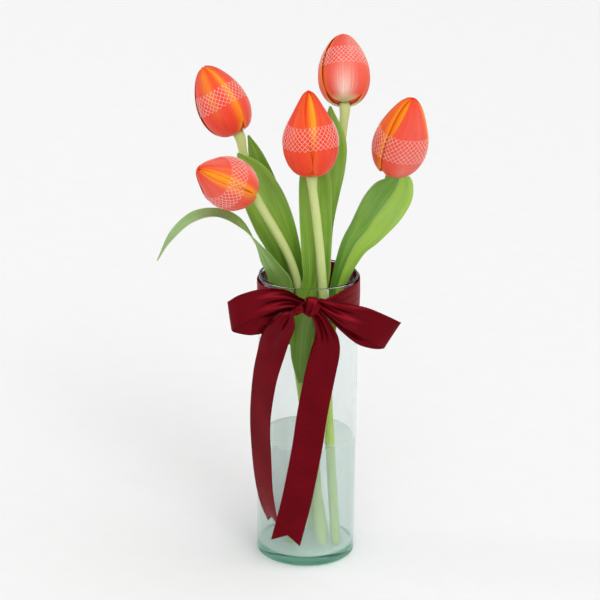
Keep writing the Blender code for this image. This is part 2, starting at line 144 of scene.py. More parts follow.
# How each petal differs, outer 1 to 3 then inner 1 to 3: how far its left and
# right edges stand back towards the tip, then how pink it is, how golden its
# left edge, right edge and heart are, where the heart lies across it (-1 to 1),
# and how creamy it is low down the middle.
PETALS = {
    "left_high": (
        (0.0, 0.0, 0.45, 0.1, 1.0, 0.55, 0.25, 0.0), (0.0, 0.0, 0.85, 0.5, 0.2, 0.0, 0.0, 0.35),
        (0.0, 0.0, 0.8, 0.2, 0.2, 0.0, 0.0, 0.1), (0.0, 0.0, 0.2, 0.9, 0.5, 0.3, 0.0, 0.0),
        (0.0, 0.0, 0.4, 0.6, 0.6, 0.1, 0.0, 0.0), (0.0, 0.0, 0.4, 0.6, 0.6, 0.1, 0.0, 0.0),
    ),
    "left_low": (
        (0.65, 0.0, 0.7, 1.0, 0.2, 0.2, -0.6, 0.6), (0.0, 0.0, 0.8, 0.2, 0.2, 0.0, 0.0, 0.1),
        (0.0, 0.55, 0.95, 0.1, 0.7, 0.0, 0.0, 0.1), (0.0, 0.0, 0.3, 0.7, 0.7, 0.2, 0.0, 0.0),
        (0.0, 0.0, 0.3, 0.6, 0.6, 0.1, 0.0, 0.0), (0.0, 0.0, 0.1, 0.8, 0.8, 1.0, 0.1, 0.0),
    ),
    "centre": (
        (1.0, 0.0, 0.4, 0.2, 0.1, 0.1, -0.5, 0.0), (0.0, 0.0, 0.8, 0.2, 0.2, 0.0, 0.0, 0.1),
        (0.0, 0.85, 0.3, 0.1, 0.12, 0.15, 0.6, 0.0), (0.0, 0.0, 0.3, 0.7, 0.5, 0.1, 0.0, 0.0),
        (0.0, 0.0, 0.3, 0.5, 0.7, 0.1, 0.0, 0.0), (0.0, 0.0, 0.0, 0.1, 0.35, 1.0, 0.26, 0.0),
    ),
    "back": (
        (0.35, 0.3, 0.85, 0.4, 0.15, 0.0, 0.0, 1.0), (0.0, 0.0, 0.6, 0.5, 0.3, 0.0, 0.0, 0.3),
        (0.0, 0.0, 0.6, 0.3, 0.5, 0.0, 0.0, 0.3), (0.0, 0.0, 0.1, 0.7, 0.7, 0.3, 0.0, 0.0),
        (0.0, 0.0, 0.2, 0.6, 0.6, 0.2, 0.0, 0.0), (0.0, 0.0, 0.1, 0.7, 0.7, 0.3, 0.0, 0.0),
    ),
    "right": (
        (0.7, 0.35, 0.85, 0.1, 0.8, 0.0, 0.0, 0.15), (0.0, 0.0, 0.5, 0.4, 0.3, 0.1, 0.0, 0.1),
        (0.0, 0.25, 0.25, 0.2, 0.75, 0.4, 0.6, 0.0), (0.3, 0.3, 0.1, 0.9, 0.9, 0.3, 0.0, 0.0),
        (0.2, 0.2, 0.2, 0.6, 0.6, 0.1, 0.0, 0.0), (0.0, 0.0, 0.05, 0.5, 0.7, 0.9, 0.3, 0.0),
    ),
}

# Each leaf: its cup, positive where the edges curl forward, and stations from
# base to tip as x, y, z, half width, the plan angle of the line from its left
# edge to its right edge and how far that line climbs.
LEAVES = {
    "leaf_arching": (-0.15, (
        (-11, -13, 194, 3, -40, 0), (-21, -13, 222, 8.5, -42, 0), (-25, -16, 249, 13.5, -42, 0),
        (-33, -18, 264, 13.5, -50, 0), (-42, -20, 281, 12.5, -62, -0.1),
        (-57, -23, 301, 11.5, -80, -0.1), (-76, -26, 311, 11, -90, 0),
        (-96, -28, 307.5, 10.5, -90, -0.2), (-113, -30, 292, 8.5, -90, -0.35),
        (-125, -32, 272, 0.8, -90, -0.2))),
    "leaf_left_broad": (0.22, (
        (-13, 0.5, 188, 3, 0, 0), (-13, -1, 222, 8, 0, 0), (-16, -3, 250, 12, 0, 0),
        (-21, -3, 275, 14, 0, 0), (-30, -1, 297, 17, 5, 0), (-40, 3, 319, 17, 8, 0),
        (-49, 5, 338, 12, 10, 0), (-60, 6, 354, 0.8, 10, 0))),
    "leaf_left_slim": (0.15, (
        (-15, 14.5, 200, 3, 0, 0), (-19, 15, 240, 9, 0, 0), (-29, 17.5, 285, 12, 0, 0),
        (-37, 19.5, 320, 11, 0, 0), (-45, 19.5, 348, 6.5, 0, 0), (-51.5, 18.5, 366, 0.8, 0, 0))),
    "leaf_centre": (0.25, (
        (-5, -17, 160, 2.5, 0, 0), (-6, -19, 186, 8, 0, 0), (-4, -19, 218, 10.5, 0, 0),
        (0, -17.5, 234, 9.5, 0, 0), (6, -15, 252, 11, 0, 0), (6, -13, 275, 12.5, 0, 0),
        (5, -9, 305, 13.5, 0, 0), (4, -3, 334, 13, 0, 0), (2, 2, 358, 8, 0, 0), (1, 5, 372, 0.8, 0, 0))),
    "leaf_back_tall": (-0.20, (
        (8, 6.5, 190, 3, 0, 0), (8, 4, 222, 7, 0, 0), (9, 3, 250, 9, 0, 0), (9, 6, 290, 11, 0, 0),
        (13, 8, 319, 12, 0, 0), (16.5, 10, 342, 13, 0, 0), (18.5, 12, 365, 11, 0, 0),
        (16, 14, 393, 0.8, 0, 0))),
    "leaf_right_broad": (-0.20, (
        (17, -8, 185, 3, 0, 0), (20, -9, 215, 5, 0, 0), (24.5, -8, 244, 6.5, 0, 0),
        (36, -9, 276, 11, 0, 0), (48, -9, 293, 15, 0, 0), (60, -9, 311, 18.5, 0, 0),
        (69, -9.5, 325, 17.5, 0, 0), (73, -10.5, 334, 13, 0, 0), (74, -12, 341, 8, 0, 0))),
}
# The right broad leaf's finish paints shade on the left half of its blade and light on the right half.
LEAF_FINISH = {
    "leaf_arching": "bloomed_leaf", "leaf_left_broad": "leaf", "leaf_left_slim": "leaf",
    "leaf_centre": "leaf", "leaf_back_tall": "leaf", "leaf_right_broad": "half_shaded_leaf",
}
LEAF_LEAST_HALF_WIDTH = 0.5
LEAF_RIB_DEPTH, LEAF_RIB_WIDTH = 0.045, 0.16
LEAF_WAVE = 0.05
LEAF_ROWS = 73
LEAF_COLUMNS = 21

# Ribbon strips: stations as centre, width, and the direction across the strip.
LOOPS = {
    "ribbon_loop_left": (
        ((-3, -52, 242.5), 9, (0, 0, 1)), ((-9, -54, 245.5), 10, (0, 0, 1)),
        ((-17, -56, 248.5), 15, (0, 0, 1)),
        ((-28, -59, 249), 20, (0, 0, 1)), ((-42, -61, 246), 24, (0, 0, 1)),
        ((-56, -61, 240.5), 25, (-0.06, 0, 1)), ((-63.5, -57, 234), 25, (-0.13, 0, 1)),
        ((-64.5, -52, 231.5), 25, (-0.13, 0, 1)), ((-60, -48, 228), 25, (-0.08, 0, 1)),
        ((-46, -46, 225.5), 25, (0, 0, 1)), ((-30, -46, 228), 22, (0, 0, 1)),
        ((-16, -47.5, 235.5), 16, (0, 0, 1)), ((-8, -49, 239), 11, (0, 0, 1)),
        ((-3, -50, 240.5), 9, (0, 0, 1))),
    "ribbon_loop_right": (
        ((8.5, -52.5, 243.5), 9, (0, 0, 1)), ((14, -55, 242), 11, (0.05, 0, 1)),
        ((21, -57, 239), 15, (0.15, 0, 1)),
        ((32, -60, 235.5), 21, (0.25, 0, 1)), ((46, -61, 231), 24.5, (0.33, 0, 1)),
        ((60, -61, 224.5), 25.5, (0.50, 0, 1)), ((68, -57, 218.5), 26.5, (0.58, 0, 1)),
        ((69, -52, 216.5), 26.5, (0.58, 0, 1)), ((64, -48, 214.5), 26, (0.48, 0, 1)),
        ((54, -46, 215), 25, (0.30, 0, 1)), ((42, -46, 218.5), 23, (0.2, 0, 1)),
        ((28, -46.5, 227), 18, (0.1, 0, 1)), ((14, -49, 237.5), 11, (0, 0, 1)),
        ((8.5, -50, 239.5), 9, (0, 0, 1))),
}
TAILS = {
    "ribbon_tail_left": (
        ((-5, -57.5, 243), 11, (0.45, -0.1, 0.9)), ((-13, -62, 239), 15, (0.62, -0.2, 0.75)),
        ((-20, -62, 229), 20, (0.8, -0.35, 0.45)), ((-27, -57, 214), 24, (0.82, -0.45, 0.3)),
        ((-31, -52, 198), 25, (0.8, -0.55, 0.2)), ((-36, -47, 174), 25, (0.76, -0.64, 0.1)),
        ((-39, -43, 139), 25, (0.68, -0.73, 0)), ((-38, -41, 103), 25, (0.66, -0.75, 0)),
        ((-36, -40, 77), 25, (0.6, -0.8, 0)), ((-32, -40, 56), 25, (0.54, -0.84, 0)),
        ((-27, -40, 40), 25, (0.44, -0.9, 0))),
    "ribbon_tail_right": (
        ((5, -53, 236), 9, (1, 0, 0)), ((9.5, -54, 229.5), 11.5, (1, 0, 0)),
        ((13, -54, 221), 15.5, (1, 0, 0)),
        ((15, -54, 211), 21, (1, 0, 0.05)), ((14, -54.5, 200), 24, (1, 0, -0.1)),
        ((10, -54, 180), 25, (1, 0, -0.15)), ((4, -52.5, 144), 25, (1, 0, -0.16)),
        ((0, -52, 113), 25, (1, 0, -0.17)), ((-7, -52, 72), 25, (1, 0, -0.2)),
        ((-12, -52, 49), 25, (1, 0, -0.2)), ((-17, -52, 28), 25, (1, 0, -0.2))),
}
NOTCH_DEPTH = 7.0
KNOT_CENTRE = (3.0, -51.0, 240.0)
KNOT_HALF_SIZE = (7.6, 5.4, 8.6)
KNOT_LEAN = 18
KNOT_STEPS, KNOT_COLUMNS = 96, 29
KNOT_CORE = (0.9 * KNOT_HALF_SIZE[0], 3.6, 5.4)
# The knot's flat length, 30.8 mm, isn't measured: the modelled wrap is 39 mm round on average, 46 mm at
# its middle.
STRIP_COLUMNS = 21
PLEATS = 2
PLEAT_MOST_DEPTH = 1.9
CURL_LENGTH = 14
NOTCH_FROM = 0.86
LOOP_ROWS, TAIL_ROWS = 150, 160
# The band round the neck: angles away from the knot, the heights of its two
# edges there, and how much its right side rises.
BAND_ANGLES = (0, 18, 38, 56, 90, 180)
BAND_TOP = (241, 243, 247, 248.5, 248.5, 249.5)
BAND_BOTTOM = (234, 230, 225.5, 224, 223.5, 224.5)
BAND_RIGHT_RISE = 1.2
BAND_STEPS = 180

# ---- camera and stage ------------------------------------------------------
CAMERA_PLACE = (-7.05, -2046.2, 950.6)
CAMERA_AIM = (-7.05, 0.0, 228.0)
CAMERA_LENS = 154.83
CAMERA_ROLL = 0.66
FLOOR_HALF = 9000.0
FLOOR_DROP = 0.2
HORIZON_EDGE, HORIZON_GLOW = 0.12, 0.9
SKY_EDGE, SKY_GLOW = 0.6, 0.43
# Suns as strength, spread and turn in degrees; softboxes as place, size and power.
SUNS = {"top_light": (1.14, 65, (14, 16, 0)), "front_light": (0.75, 50, (50, 12, 0))}
SOFTBOXES = {
    "front_softbox": ((2100, -4200, 4100), (900, 1800), 30),
    "side_softbox": ((-6000, 400, 2200), (1000, 3600), 50),
}
SOFTBOX_AIM = (0, 0, 200)


# ---- sizes and colours a user would change ---------------------------------
def length(name, description, default):
    return bpy.props.FloatProperty(
        name=name, description=description, default=default * MM, min=0.0, unit="LENGTH", precision=5
    )


def colour(name, description, default):
    return bpy.props.FloatVectorProperty(
        name=name, description=description, default=default, size=3, min=0.0, max=1.0,
        subtype="COLOR_GAMMA",
    )


class TulipSizes(bpy.types.PropertyGroup):
    """Thicknesses and widths of the thin parts"""

    petal_thickness: length("Petal thickness", "Thickness of a petal", 0.55)
    leaf_thickness: length("Leaf thickness", "Thickness of a leaf blade", 0.7)
    ribbon_width: length("Ribbon width", "Width of the satin ribbon, laid flat", 25)
    ribbon_thickness: length("Ribbon thickness", "Thickness of the satin ribbon", 0.35)
    selvedge_radius: length("Selvedge radius", "Radius of the ribbon's woven edge cord", 0.2)
    strand_radius: length("Net strand radius", "Radius of a strand of the bud nets", 0.13)
    net_cell: length("Net cell", "Width of one diamond of the bud nets", 4.3)


class TulipColours(bpy.types.PropertyGroup):
    """Colours of the petals, leaves and ribbon"""

    flame: colour("Flame", "Red-orange of the petals", (0.96, 0.22, 0.03))
    coral: colour("Coral", "Pink of the petals' outsides", (0.94, 0.36, 0.30))
    gold: colour("Gold", "Yellow-orange of the petals' edges", (1.0, 0.63, 0.10))
    cream: colour("Cream", "Pale streaks low on the petals", (0.99, 0.88, 0.82))
    leaf_light: colour("Leaf, light", "Light green of the leaves", (0.60, 0.74, 0.26))
    leaf_dark: colour("Leaf, dark", "Dark green of the leaves", (0.33, 0.52, 0.10))
    stem: colour("Stem", "Pale green of the stems", (0.74, 0.80, 0.50))
    satin: colour("Satin", "Burgundy of the ribbon", (0.35, 0.012, 0.05))
    net: colour("Net", "Colour of the bud nets", (0.98, 0.90, 0.88))


def sizes():
    return bpy.context.scene.tulip_sizes


def colours():
    return bpy.context.scene.tulip_colours


# ---- curves and meshes -----------------------------------------------------
def smooth_stations(stations, count, place=3):
    """Evenly spaced stations on a smooth curve through the given ones.

    The first columns, as many as place says, are the position; the rest ride along.
    """
    rows = np.array(stations, dtype=float)
    padded = np.vstack([2 * rows[0] - rows[1], rows, 2 * rows[-1] - rows[-2]])
    fine = []
    for a, b, c, d in zip(padded, padded[1:], padded[2:], padded[3:]):
        for t in np.arange(0, 1, CURVE_STEP):
            cubic = t * (3 * (b - c) + d - a)
            fine.append(b + 0.5 * t * (c - a + t * (2 * a - 5 * b + 4 * c - d + cubic)))
    fine = np.array(fine + [rows[-1]])
    steps = np.linalg.norm(np.diff(fine[:, :place], axis=0), axis=1)
    along = np.concatenate([[0], np.cumsum(steps)])
    wanted = np.linspace(0, along[-1], count)
    return np.array([np.interp(wanted, along, column) for column in fine.T]).T


def ease(value, low, high):
    """0 below low, 1 above high, smooth between."""
    share = np.clip((np.asarray(value, dtype=float) - low) / (high - low), 0, 1)
    return share * share * (3 - 2 * share)


def lengths_along(points):
    return np.concatenate([[0], np.cumsum(np.linalg.norm(np.diff(points, axis=0), axis=1))])


def finish_piece(name, mesh, finish, node=None):
    """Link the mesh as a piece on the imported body, in its finish."""
    piece = bpy.data.objects.new(name, mesh)
    bpy.context.scene.collection.objects.link(piece)
    if finish is not None:
        mesh.materials.clear()
        mesh.materials.append(material(finish))
    mesh.shade_smooth()
    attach(piece, BODY)
    if node is not None:
        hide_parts(*([node] if isinstance(node, str) else node))
    return piece


def grid_mesh(name, grid, along=None, ring=False, tint=None):
    """A sheet of quads over rows of points, with its UV map.

    U runs across a row, V along the rows, in the units of along if given.
    A ring joins the last column to the first.
    """
    grid = np.asarray(grid, dtype=float)
    rows, columns = grid.shape[:2]
    along = np.linspace(0, 1, rows) if along is None else np.asarray(along)
    mesh = bpy.data.meshes.new(name)
    faces, places = [], []
    last = columns if ring else columns - 1
    for row in range(rows - 1):
        for column in range(last):
            after = (column + 1) % columns
            corners = ((row, column), (row, after), (row + 1, after), (row + 1, column))
            faces.append([r * columns + c for r, c in corners])
            left, right = column / last, (column + 1) / last
            places += [
                (left, along[row]), (right, along[row]), (right, along[row + 1]), (left, along[row + 1])
            ]
    mesh.from_pydata([tuple(point) for point in grid.reshape(-1, 3) * MM], [], faces)
    layer = mesh.uv_layers.new(name="UVMap")
    layer.data.foreach_set("uv", np.array(places, dtype=np.float32).ravel())
    if tint is not None:
        attribute = mesh.attributes.new("petal_tint", "FLOAT_COLOR", "POINT")
        attribute.data.foreach_set("color", np.asarray(tint, dtype=np.float32).ravel())
    mesh.validate()
    mesh.update()
    return mesh


def thicken(piece, thickness, offset, levels=0):
    solidify = piece.modifiers.new("thickness", "SOLIDIFY")
    solidify.thickness = thickness
    solidify.offset = offset
    solidify.use_even_offset = False
    if levels:
        soften = piece.modifiers.new("smooth", "SUBSURF")
        soften.levels = levels
        soften.render_levels = levels
    return piece


def turned_mesh(name, outline, steps):
    """A closed body turned round Z from an outline that starts and ends on it."""
    bm = bmesh.new()
    rings = []
    for radius, height in outline:
        if radius == 0:
            rings.append([bm.verts.new((0, 0, height * MM))])
            continue
        angles = [2 * math.pi * step / steps for step in range(steps)]
        rings.append([
            bm.verts.new((radius * MM * math.cos(angle), radius * MM * math.sin(angle), height * MM))
            for angle in angles
        ])
    for low, high in zip(rings, rings[1:]):
        for step in range(steps):
            after = (step + 1) % steps
            if len(low) == 1:
                bm.faces.new((low[0], high[after], high[step]))
            elif len(high) == 1:
                bm.faces.new((low[step], low[after], high[0]))
            else:
                bm.faces.new((low[step], low[after], high[after], high[step]))
    bmesh.ops.recalc_face_normals(bm, faces=bm.faces)
    mesh = bpy.data.meshes.new(name)
    bm.to_mesh(mesh)
    bm.free()
    return mesh


def arc(centre, radius, start, end, steps):
    """Points round part of a circle in the outline's plane, in degrees."""
    return [
        (centre[0] + radius * math.cos(math.radians(a)), centre[1] + radius * math.sin(math.radians(a)))
        for a in np.linspace(start, end, steps)
    ]


def tube_mesh(name, path, radii, sides, ribs=0.0):
    """A closed round tube along a path, with its UV map and flat filled ends."""
    points = [Vector(point) for point in path]
    side = Vector((0, 1, 0))
    rings = []
    for index, point in enumerate(points):
        before = points[max(index - 1, 0)]
        after = points[min(index + 1, len(points) - 1)]
        tangent = (after - before).normalized()
        side = (side - tangent * side.dot(tangent)).normalized()
        across = tangent.cross(side)
        ring = []
        for step in range(sides):
            angle = 2 * math.pi * step / sides
            reach = float(radii[index]) * (1 + ribs * math.cos(5 * angle))
            ring.append(point + reach * (math.cos(angle) * side + math.sin(angle) * across))
        rings.append(ring)
    mesh = grid_mesh(name, rings, lengths_along(np.array(path)) / 10, ring=True)
    bm = bmesh.new()
    bm.from_mesh(mesh)
    bmesh.ops.holes_fill(bm, edges=[edge for edge in bm.edges if edge.is_boundary], sides=0)
    bmesh.ops.recalc_face_normals(bm, faces=bm.faces)
    bm.to_mesh(mesh)
    bm.free()
    return mesh


def joined(name, meshes):
    """Several meshes as one."""
    bm = bmesh.new()
    for mesh in meshes:
        bm.from_mesh(mesh)
    made = bpy.data.meshes.new(name)
    bm.to_mesh(made)
    bm.free()
    return made


# ---- shader helpers --------------------------------------------------------
def linear(value):
    """A display colour channel, 0 to 1, as the linear value that shaders use."""
    return value / 12.92 if value <= 0.04045 else ((value + 0.055) / 1.055) ** 2.4


def rgba(srgb):
    return (*[linear(channel) for channel in srgb], 1.0)


def wire(tree, socket, value):
    if isinstance(value, bpy.types.NodeSocket):
        tree.links.new(value, socket)
    else:
        socket.default_value = value


def add(tree, kind, inputs=(), **settings):
    """A node with its settings, its inputs set or wired by name or number."""
    made = tree.nodes.new(kind)
    for key, value in settings.items():
        setattr(made, key, value)
    for key, value in dict(inputs).items():
        wire(tree, made.inputs[key], value)
    return made


def maths(tree, operation, first, second=0.0, clamp=False):
    node = add(tree, "ShaderNodeMath", {0: first, 1: second}, operation=operation, use_clamp=clamp)
    return node.outputs[0]


def times(tree, first, second, clamp=False):
    return maths(tree, "MULTIPLY", first, second, clamp)


def plus(tree, first, second, clamp=False):
    return maths(tree, "ADD", first, second, clamp)


def mixed(tree, share, first, second, blend="MIX"):
    node = add(tree, "ShaderNodeMix", data_type="RGBA", blend_type=blend)
    for index, value in ((0, share), (6, first), (7, second)):
        wire(tree, node.inputs[index], value)
    return node.outputs[2]


def ranged(tree, value, low, high, to_low=0.0, to_high=1.0, smooth=False):
    node = add(
        tree, "ShaderNodeMapRange", {0: value, 1: low, 2: high, 3: to_low, 4: to_high},
        interpolation_type="SMOOTHSTEP" if smooth else "LINEAR",
    )
    return node.outputs[0]


def uv_place(tree):
    """The piece's own U and V."""
    place = add(tree, "ShaderNodeTexCoord")
    parts = add(tree, "ShaderNodeSeparateXYZ", {0: place.outputs["UV"]})
    return parts.outputs[0], parts.outputs[1]


def shared_group(name, inputs, outputs, fill):
    """A shader group, made once, with float inputs and outputs."""
    if name in bpy.data.node_groups:
        return bpy.data.node_groups[name]
    tree = bpy.data.node_groups.new(name, "ShaderNodeTree")
    for label, default in inputs:
        socket = tree.interface.new_socket(label, in_out="INPUT", socket_type="NodeSocketFloat")
        socket.default_value = default
    for label in outputs:
        tree.interface.new_socket(label, in_out="OUTPUT", socket_type="NodeSocketFloat")
    start = tree.nodes.new("NodeGroupInput")
    end = tree.nodes.new("NodeGroupOutput")
    for label, socket in zip(outputs, fill(tree, start.outputs)):
        tree.links.new(socket, end.inputs[label])
    return tree


def streaks_group():
    """Soft streaks that run the length of a petal, leaf or stem."""
    def fill(tree, given):
        across, along = uv_place(tree)
        place = add(tree, "ShaderNodeCombineXYZ", {
            0: times(tree, across, given["Across"]),
            1: times(tree, along, given["Along"]),
            2: given["Seed"],
        })
        noise = add(tree, "ShaderNodeTexNoise", {
            "Vector": place.outputs[0], "Scale": 1.0, "Detail": 4.0, "Roughness": 0.6,
            "Distortion": 0.35,
        })
        return [ranged(tree, noise.outputs[0], 0.3, 0.7)]

    inputs = (("Across", 30.0), ("Along", 2.0), ("Seed", 0.0))
    return shared_group("Lengthwise streaks", inputs, ("Streak",), fill)


def grain_group():
    """Fine and coarse mottling in real size, on object coordinates."""
    def fill(tree, given):
        place = add(tree, "ShaderNodeTexCoord").outputs["Object"]
        fine, coarse = (
            add(tree, "ShaderNodeTexNoise", {"Vector": place, "Scale": given[label], "Detail": detail})
            for label, detail in (("Fine", 3.0), ("Coarse", 2.0)))
        return [ranged(tree, fine.outputs[0], 0.3, 0.7), ranged(tree, coarse.outputs[0], 0.35, 0.65)]

    return shared_group("Mottling", (("Fine", 900.0), ("Coarse", 60.0)), ("Fine", "Coarse"), fill)


def ribs_group():
    """Parallel veins side by side across a blade, some broader than others."""
    def fill(tree, given):
        across, along = uv_place(tree)
        drift = add(tree, "ShaderNodeTexNoise", {
            "Vector": add(tree, "ShaderNodeCombineXYZ", {
                0: times(tree, across, 6.0), 1: times(tree, along, 1.5)}).outputs[0],
            "Scale": 1.0, "Detail": 1.0,
        })
        bent = plus(tree, across, times(tree, drift.outputs[0], 0.03))
        turns = times(tree, times(tree, bent, given["Count"]), 2 * math.pi)
        fine = times(tree, turns, 2.7)
        wave = plus(tree, maths(tree, "SINE", turns), times(tree, maths(tree, "SINE", fine), 0.5))
        return [ranged(tree, wave, -1.5, 1.5)]

    return shared_group("Parallel veins", (("Count", 14.0),), ("Vein",), fill)


def weave_group():
    """Fine satin threads: long floats along the ribbon with a broken cross thread."""
    def fill(tree, given):
        across, along = uv_place(tree)
        floats = maths(tree, "SINE", times(tree, across, given["Threads across"]))
        picks = maths(tree, "SINE", times(tree, along, given["Threads along"]))
        rough = add(tree, "ShaderNodeTexNoise", {
            "Vector": add(tree, "ShaderNodeCombineXYZ", {
                0: times(tree, across, 60.0), 1: times(tree, along, 9.0)}).outputs[0],
            "Scale": 1.0, "Detail": 3.0,
        })
        thread = plus(tree, times(tree, floats, 0.3), times(tree, picks, 0.5))
        height = plus(tree, thread, rough.outputs[0])
        return [ranged(tree, height, -0.5, 1.5), ranged(tree, rough.outputs[0], 0.3, 0.7)]

    return shared_group(
        "Satin weave", (("Threads across", 500.0), ("Threads along", 420.0)), ("Height", "Slub"), fill)


def placed(tree, group, **values):
    made = tree.nodes.new("ShaderNodeGroup")
    made.node_tree = group
    for key, value in values.items():
        wire(tree, made.inputs[key.replace("_", " ")], value)
    return made


def shader_of(tree, base, roughness, height=None, depth=0.1, **sockets):
    """The Principled shader of a finish, with a bump of the given depth."""
    shader = tree.nodes["Principled BSDF"]
    wire(tree, shader.inputs["Base Color"], base)
    wire(tree, shader.inputs["Roughness"], roughness)
    if height is not None:
        bump = add(tree, "ShaderNodeBump", {"Strength": 1.0, "Distance": depth * MM, "Height": height})
        wire(tree, shader.inputs["Normal"], bump.outputs[0])
    for key, value in sockets.items():
        shader.inputs[key.replace("_", " ")].default_value = value
    return shader


# ---- finishes --------------------------------------------------------------
def petal_finish(tree):
    tints = colours()
    tint = add(tree, "ShaderNodeAttribute", attribute_name="petal_tint", attribute_type="GEOMETRY")
    parts = add(tree, "ShaderNodeSeparateColor", {0: tint.outputs["Color"]})
    pink, gold, cream = parts.outputs
    broad = placed(tree, streaks_group(), Across=7.0, Along=1.2, Seed=2.0).outputs[0]
    streak = placed(tree, streaks_group(), Across=46.0, Along=2.2, Seed=5.0).outputs[0]
    mottle = placed(tree, grain_group(), Fine=1400.0, Coarse=90.0)
    swing = times(tree, maths(tree, "SUBTRACT", broad, 0.5), 0.45)
    base = mixed(tree, plus(tree, pink, swing, clamp=True), rgba(tints.flame), rgba(tints.coral))
    gilded = times(tree, gold, plus(tree, 0.75, times(tree, streak, 0.4)), clamp=True)
    base = mixed(tree, gilded, base, rgba(tints.gold))
    paled = times(tree, cream, plus(tree, 0.55, times(tree, streak, 0.6)), clamp=True)
    base = mixed(tree, paled, base, rgba(tints.cream))
    base = mixed(tree, times(tree, tint.outputs["Alpha"], 0.9), base, rgba((0.83, 0.85, 0.60)))
    shade = plus(tree, 0.8, times(tree, plus(tree, streak, mottle.outputs[0]), 0.12))
    lined = add(tree, "ShaderNodeCombineColor", {0: shade, 1: shade, 2: shade})
    base = mixed(tree, 1.0, base, lined.outputs[0], "MULTIPLY")
    rough = ranged(tree, streak, 0.0, 1.0, 0.34, 0.48)
    height = plus(tree, streak, times(tree, mottle.outputs[0], 0.25))
    shader_of(
        tree, base, rough, height, 0.12, Subsurface_Weight=0.1, Subsurface_Radius=(0.9, 0.3, 0.1),
        Subsurface_Scale=0.003, Specular_IOR_Level=0.28, Specular_Tint=(1.0, 0.62, 0.5, 1.0),
    )


def leaf_finish(tree, light, dark, bloom, half_shade=0.0):
    """Waxy blade: veins, broad light and dark bands, a pale bloom, pale edges and, if asked, painted
    shade on one half.
    """
    across, along = uv_place(tree)
    vein = placed(tree, ribs_group(), Count=13.0).outputs[0]
    streak = placed(tree, streaks_group(), Across=34.0, Along=2.0, Seed=1.0).outputs[0]
    broad = placed(tree, streaks_group(), Across=4.0, Along=2.5, Seed=8.0).outputs[0]
    mottle = placed(tree, grain_group(), Fine=1100.0, Coarse=45.0)
    shade = plus(tree, times(tree, vein, 0.14), times(tree, broad, 0.6))
    shade = plus(tree, shade, times(tree, streak, 0.22))
    # Painted shade and painted light: the left half of the blade is darkened and the right half
    # lightened, as light falls on a leaf folded along its midrib.
    if half_shade:
        half = ranged(tree, across, 0.44, 0.56, -half_shade, half_shade, smooth=True)
        shade = plus(tree, shade, half, clamp=True)
    shade = plus(tree, shade, ranged(tree, along, 0.3, 1.0, -0.08, 0.12), clamp=True)
    base = mixed(tree, shade, rgba(dark), rgba(light))
    waxed = times(tree, plus(tree, 0.35, times(tree, mottle.outputs[1], 0.65)), bloom)
    waxed = times(tree, waxed, ranged(tree, along, 0.4, 0.75, 0.25, 1.0, smooth=True))
    base = mixed(tree, waxed, base, rgba((0.70, 0.80, 0.66)))
    from_middle = maths(tree, "ABSOLUTE", maths(tree, "SUBTRACT", across, 0.5))
    edge = ranged(tree, from_middle, 0.455, 0.5, smooth=True)
    base = mixed(tree, times(tree, edge, 0.25), base, rgba((0.78, 0.86, 0.58)))
    rib = ranged(tree, from_middle, 0.0, 0.03, 1.0, 0.0)
    base = mixed(tree, times(tree, rib, 0.25), base, rgba((0.76, 0.86, 0.52)))
    rough = plus(tree, ranged(tree, streak, 0.0, 1.0, 0.36, 0.46), times(tree, waxed, 0.25))
    height = plus(tree, vein, times(tree, mottle.outputs[0], 0.15))
    shader_of(
        tree, base, rough, height, 0.16, Subsurface_Weight=0.12, Subsurface_Radius=(0.4, 0.8, 0.15),
        Subsurface_Scale=0.002, Specular_IOR_Level=0.2,
    )


def stem_finish(tree):
    tints = colours()
    streak = placed(tree, streaks_group(), Across=22.0, Along=0.9, Seed=3.0).outputs[0]
    mottle = placed(tree, grain_group(), Fine=1300.0, Coarse=35.0)
    place = add(tree, "ShaderNodeTexCoord").outputs["Object"]
    above = add(tree, "ShaderNodeSeparateXYZ", {0: place}).outputs[2]
    low = ranged(tree, above, 0.12, 0.30, 1.0, 0.0, smooth=True)
    base = mixed(tree, times(tree, low, 0.75), rgba(tints.stem), rgba((0.66, 0.80, 0.16)))
    base = mixed(tree, times(tree, streak, 0.45), base, rgba((0.86, 0.87, 0.66)))
    base = mixed(tree, times(tree, mottle.outputs[1], 0.25), base, rgba((0.66, 0.78, 0.40)))
    rough = ranged(tree, streak, 0.0, 1.0, 0.38, 0.5)
    height = plus(tree, streak, times(tree, mottle.outputs[0], 0.3))
    shader_of(
        tree, base, rough, height, 0.12, Subsurface_Weight=0.15, Subsurface_Radius=(0.6, 0.8, 0.25),
        Subsurface_Scale=0.003, Specular_IOR_Level=0.25,
    )


def satin_finish(tree):
    weave = placed(tree, weave_group(), Threads_across=520.0, Threads_along=430.0)
    mottle = placed(tree, grain_group(), Fine=500.0, Coarse=40.0)
    satin = colours().satin
    bright = [min(1.0, channel * 1.3 + 0.01) for channel in satin]
    shade = times(tree, plus(tree, weave.outputs[0], mottle.outputs[1]), 0.35)
    base = mixed(tree, shade, rgba(satin), rgba(bright))
    rough = plus(tree, 0.24, times(tree, weave.outputs[1], 0.12))
    shader_of(
        tree, base, rough, weave.outputs[0], 0.03, Metallic=0.6, Anisotropic=0.5,
        Specular_Tint=(1.0, 0.30, 0.42, 1.0), Specular_IOR_Level=0.35,
    )


def net_finish(tree):
    mottle = placed(tree, grain_group(), Fine=2600.0, Coarse=200.0)
    base = mixed(tree, mottle.outputs[0], rgba(colours().net), rgba((1.0, 0.82, 0.80)))
    rough = ranged(tree, mottle.outputs[0], 0.0, 1.0, 0.45, 0.6)
    shader_of(tree, base, rough, mottle.outputs[0], 0.03, Sheen_Weight=0.2)


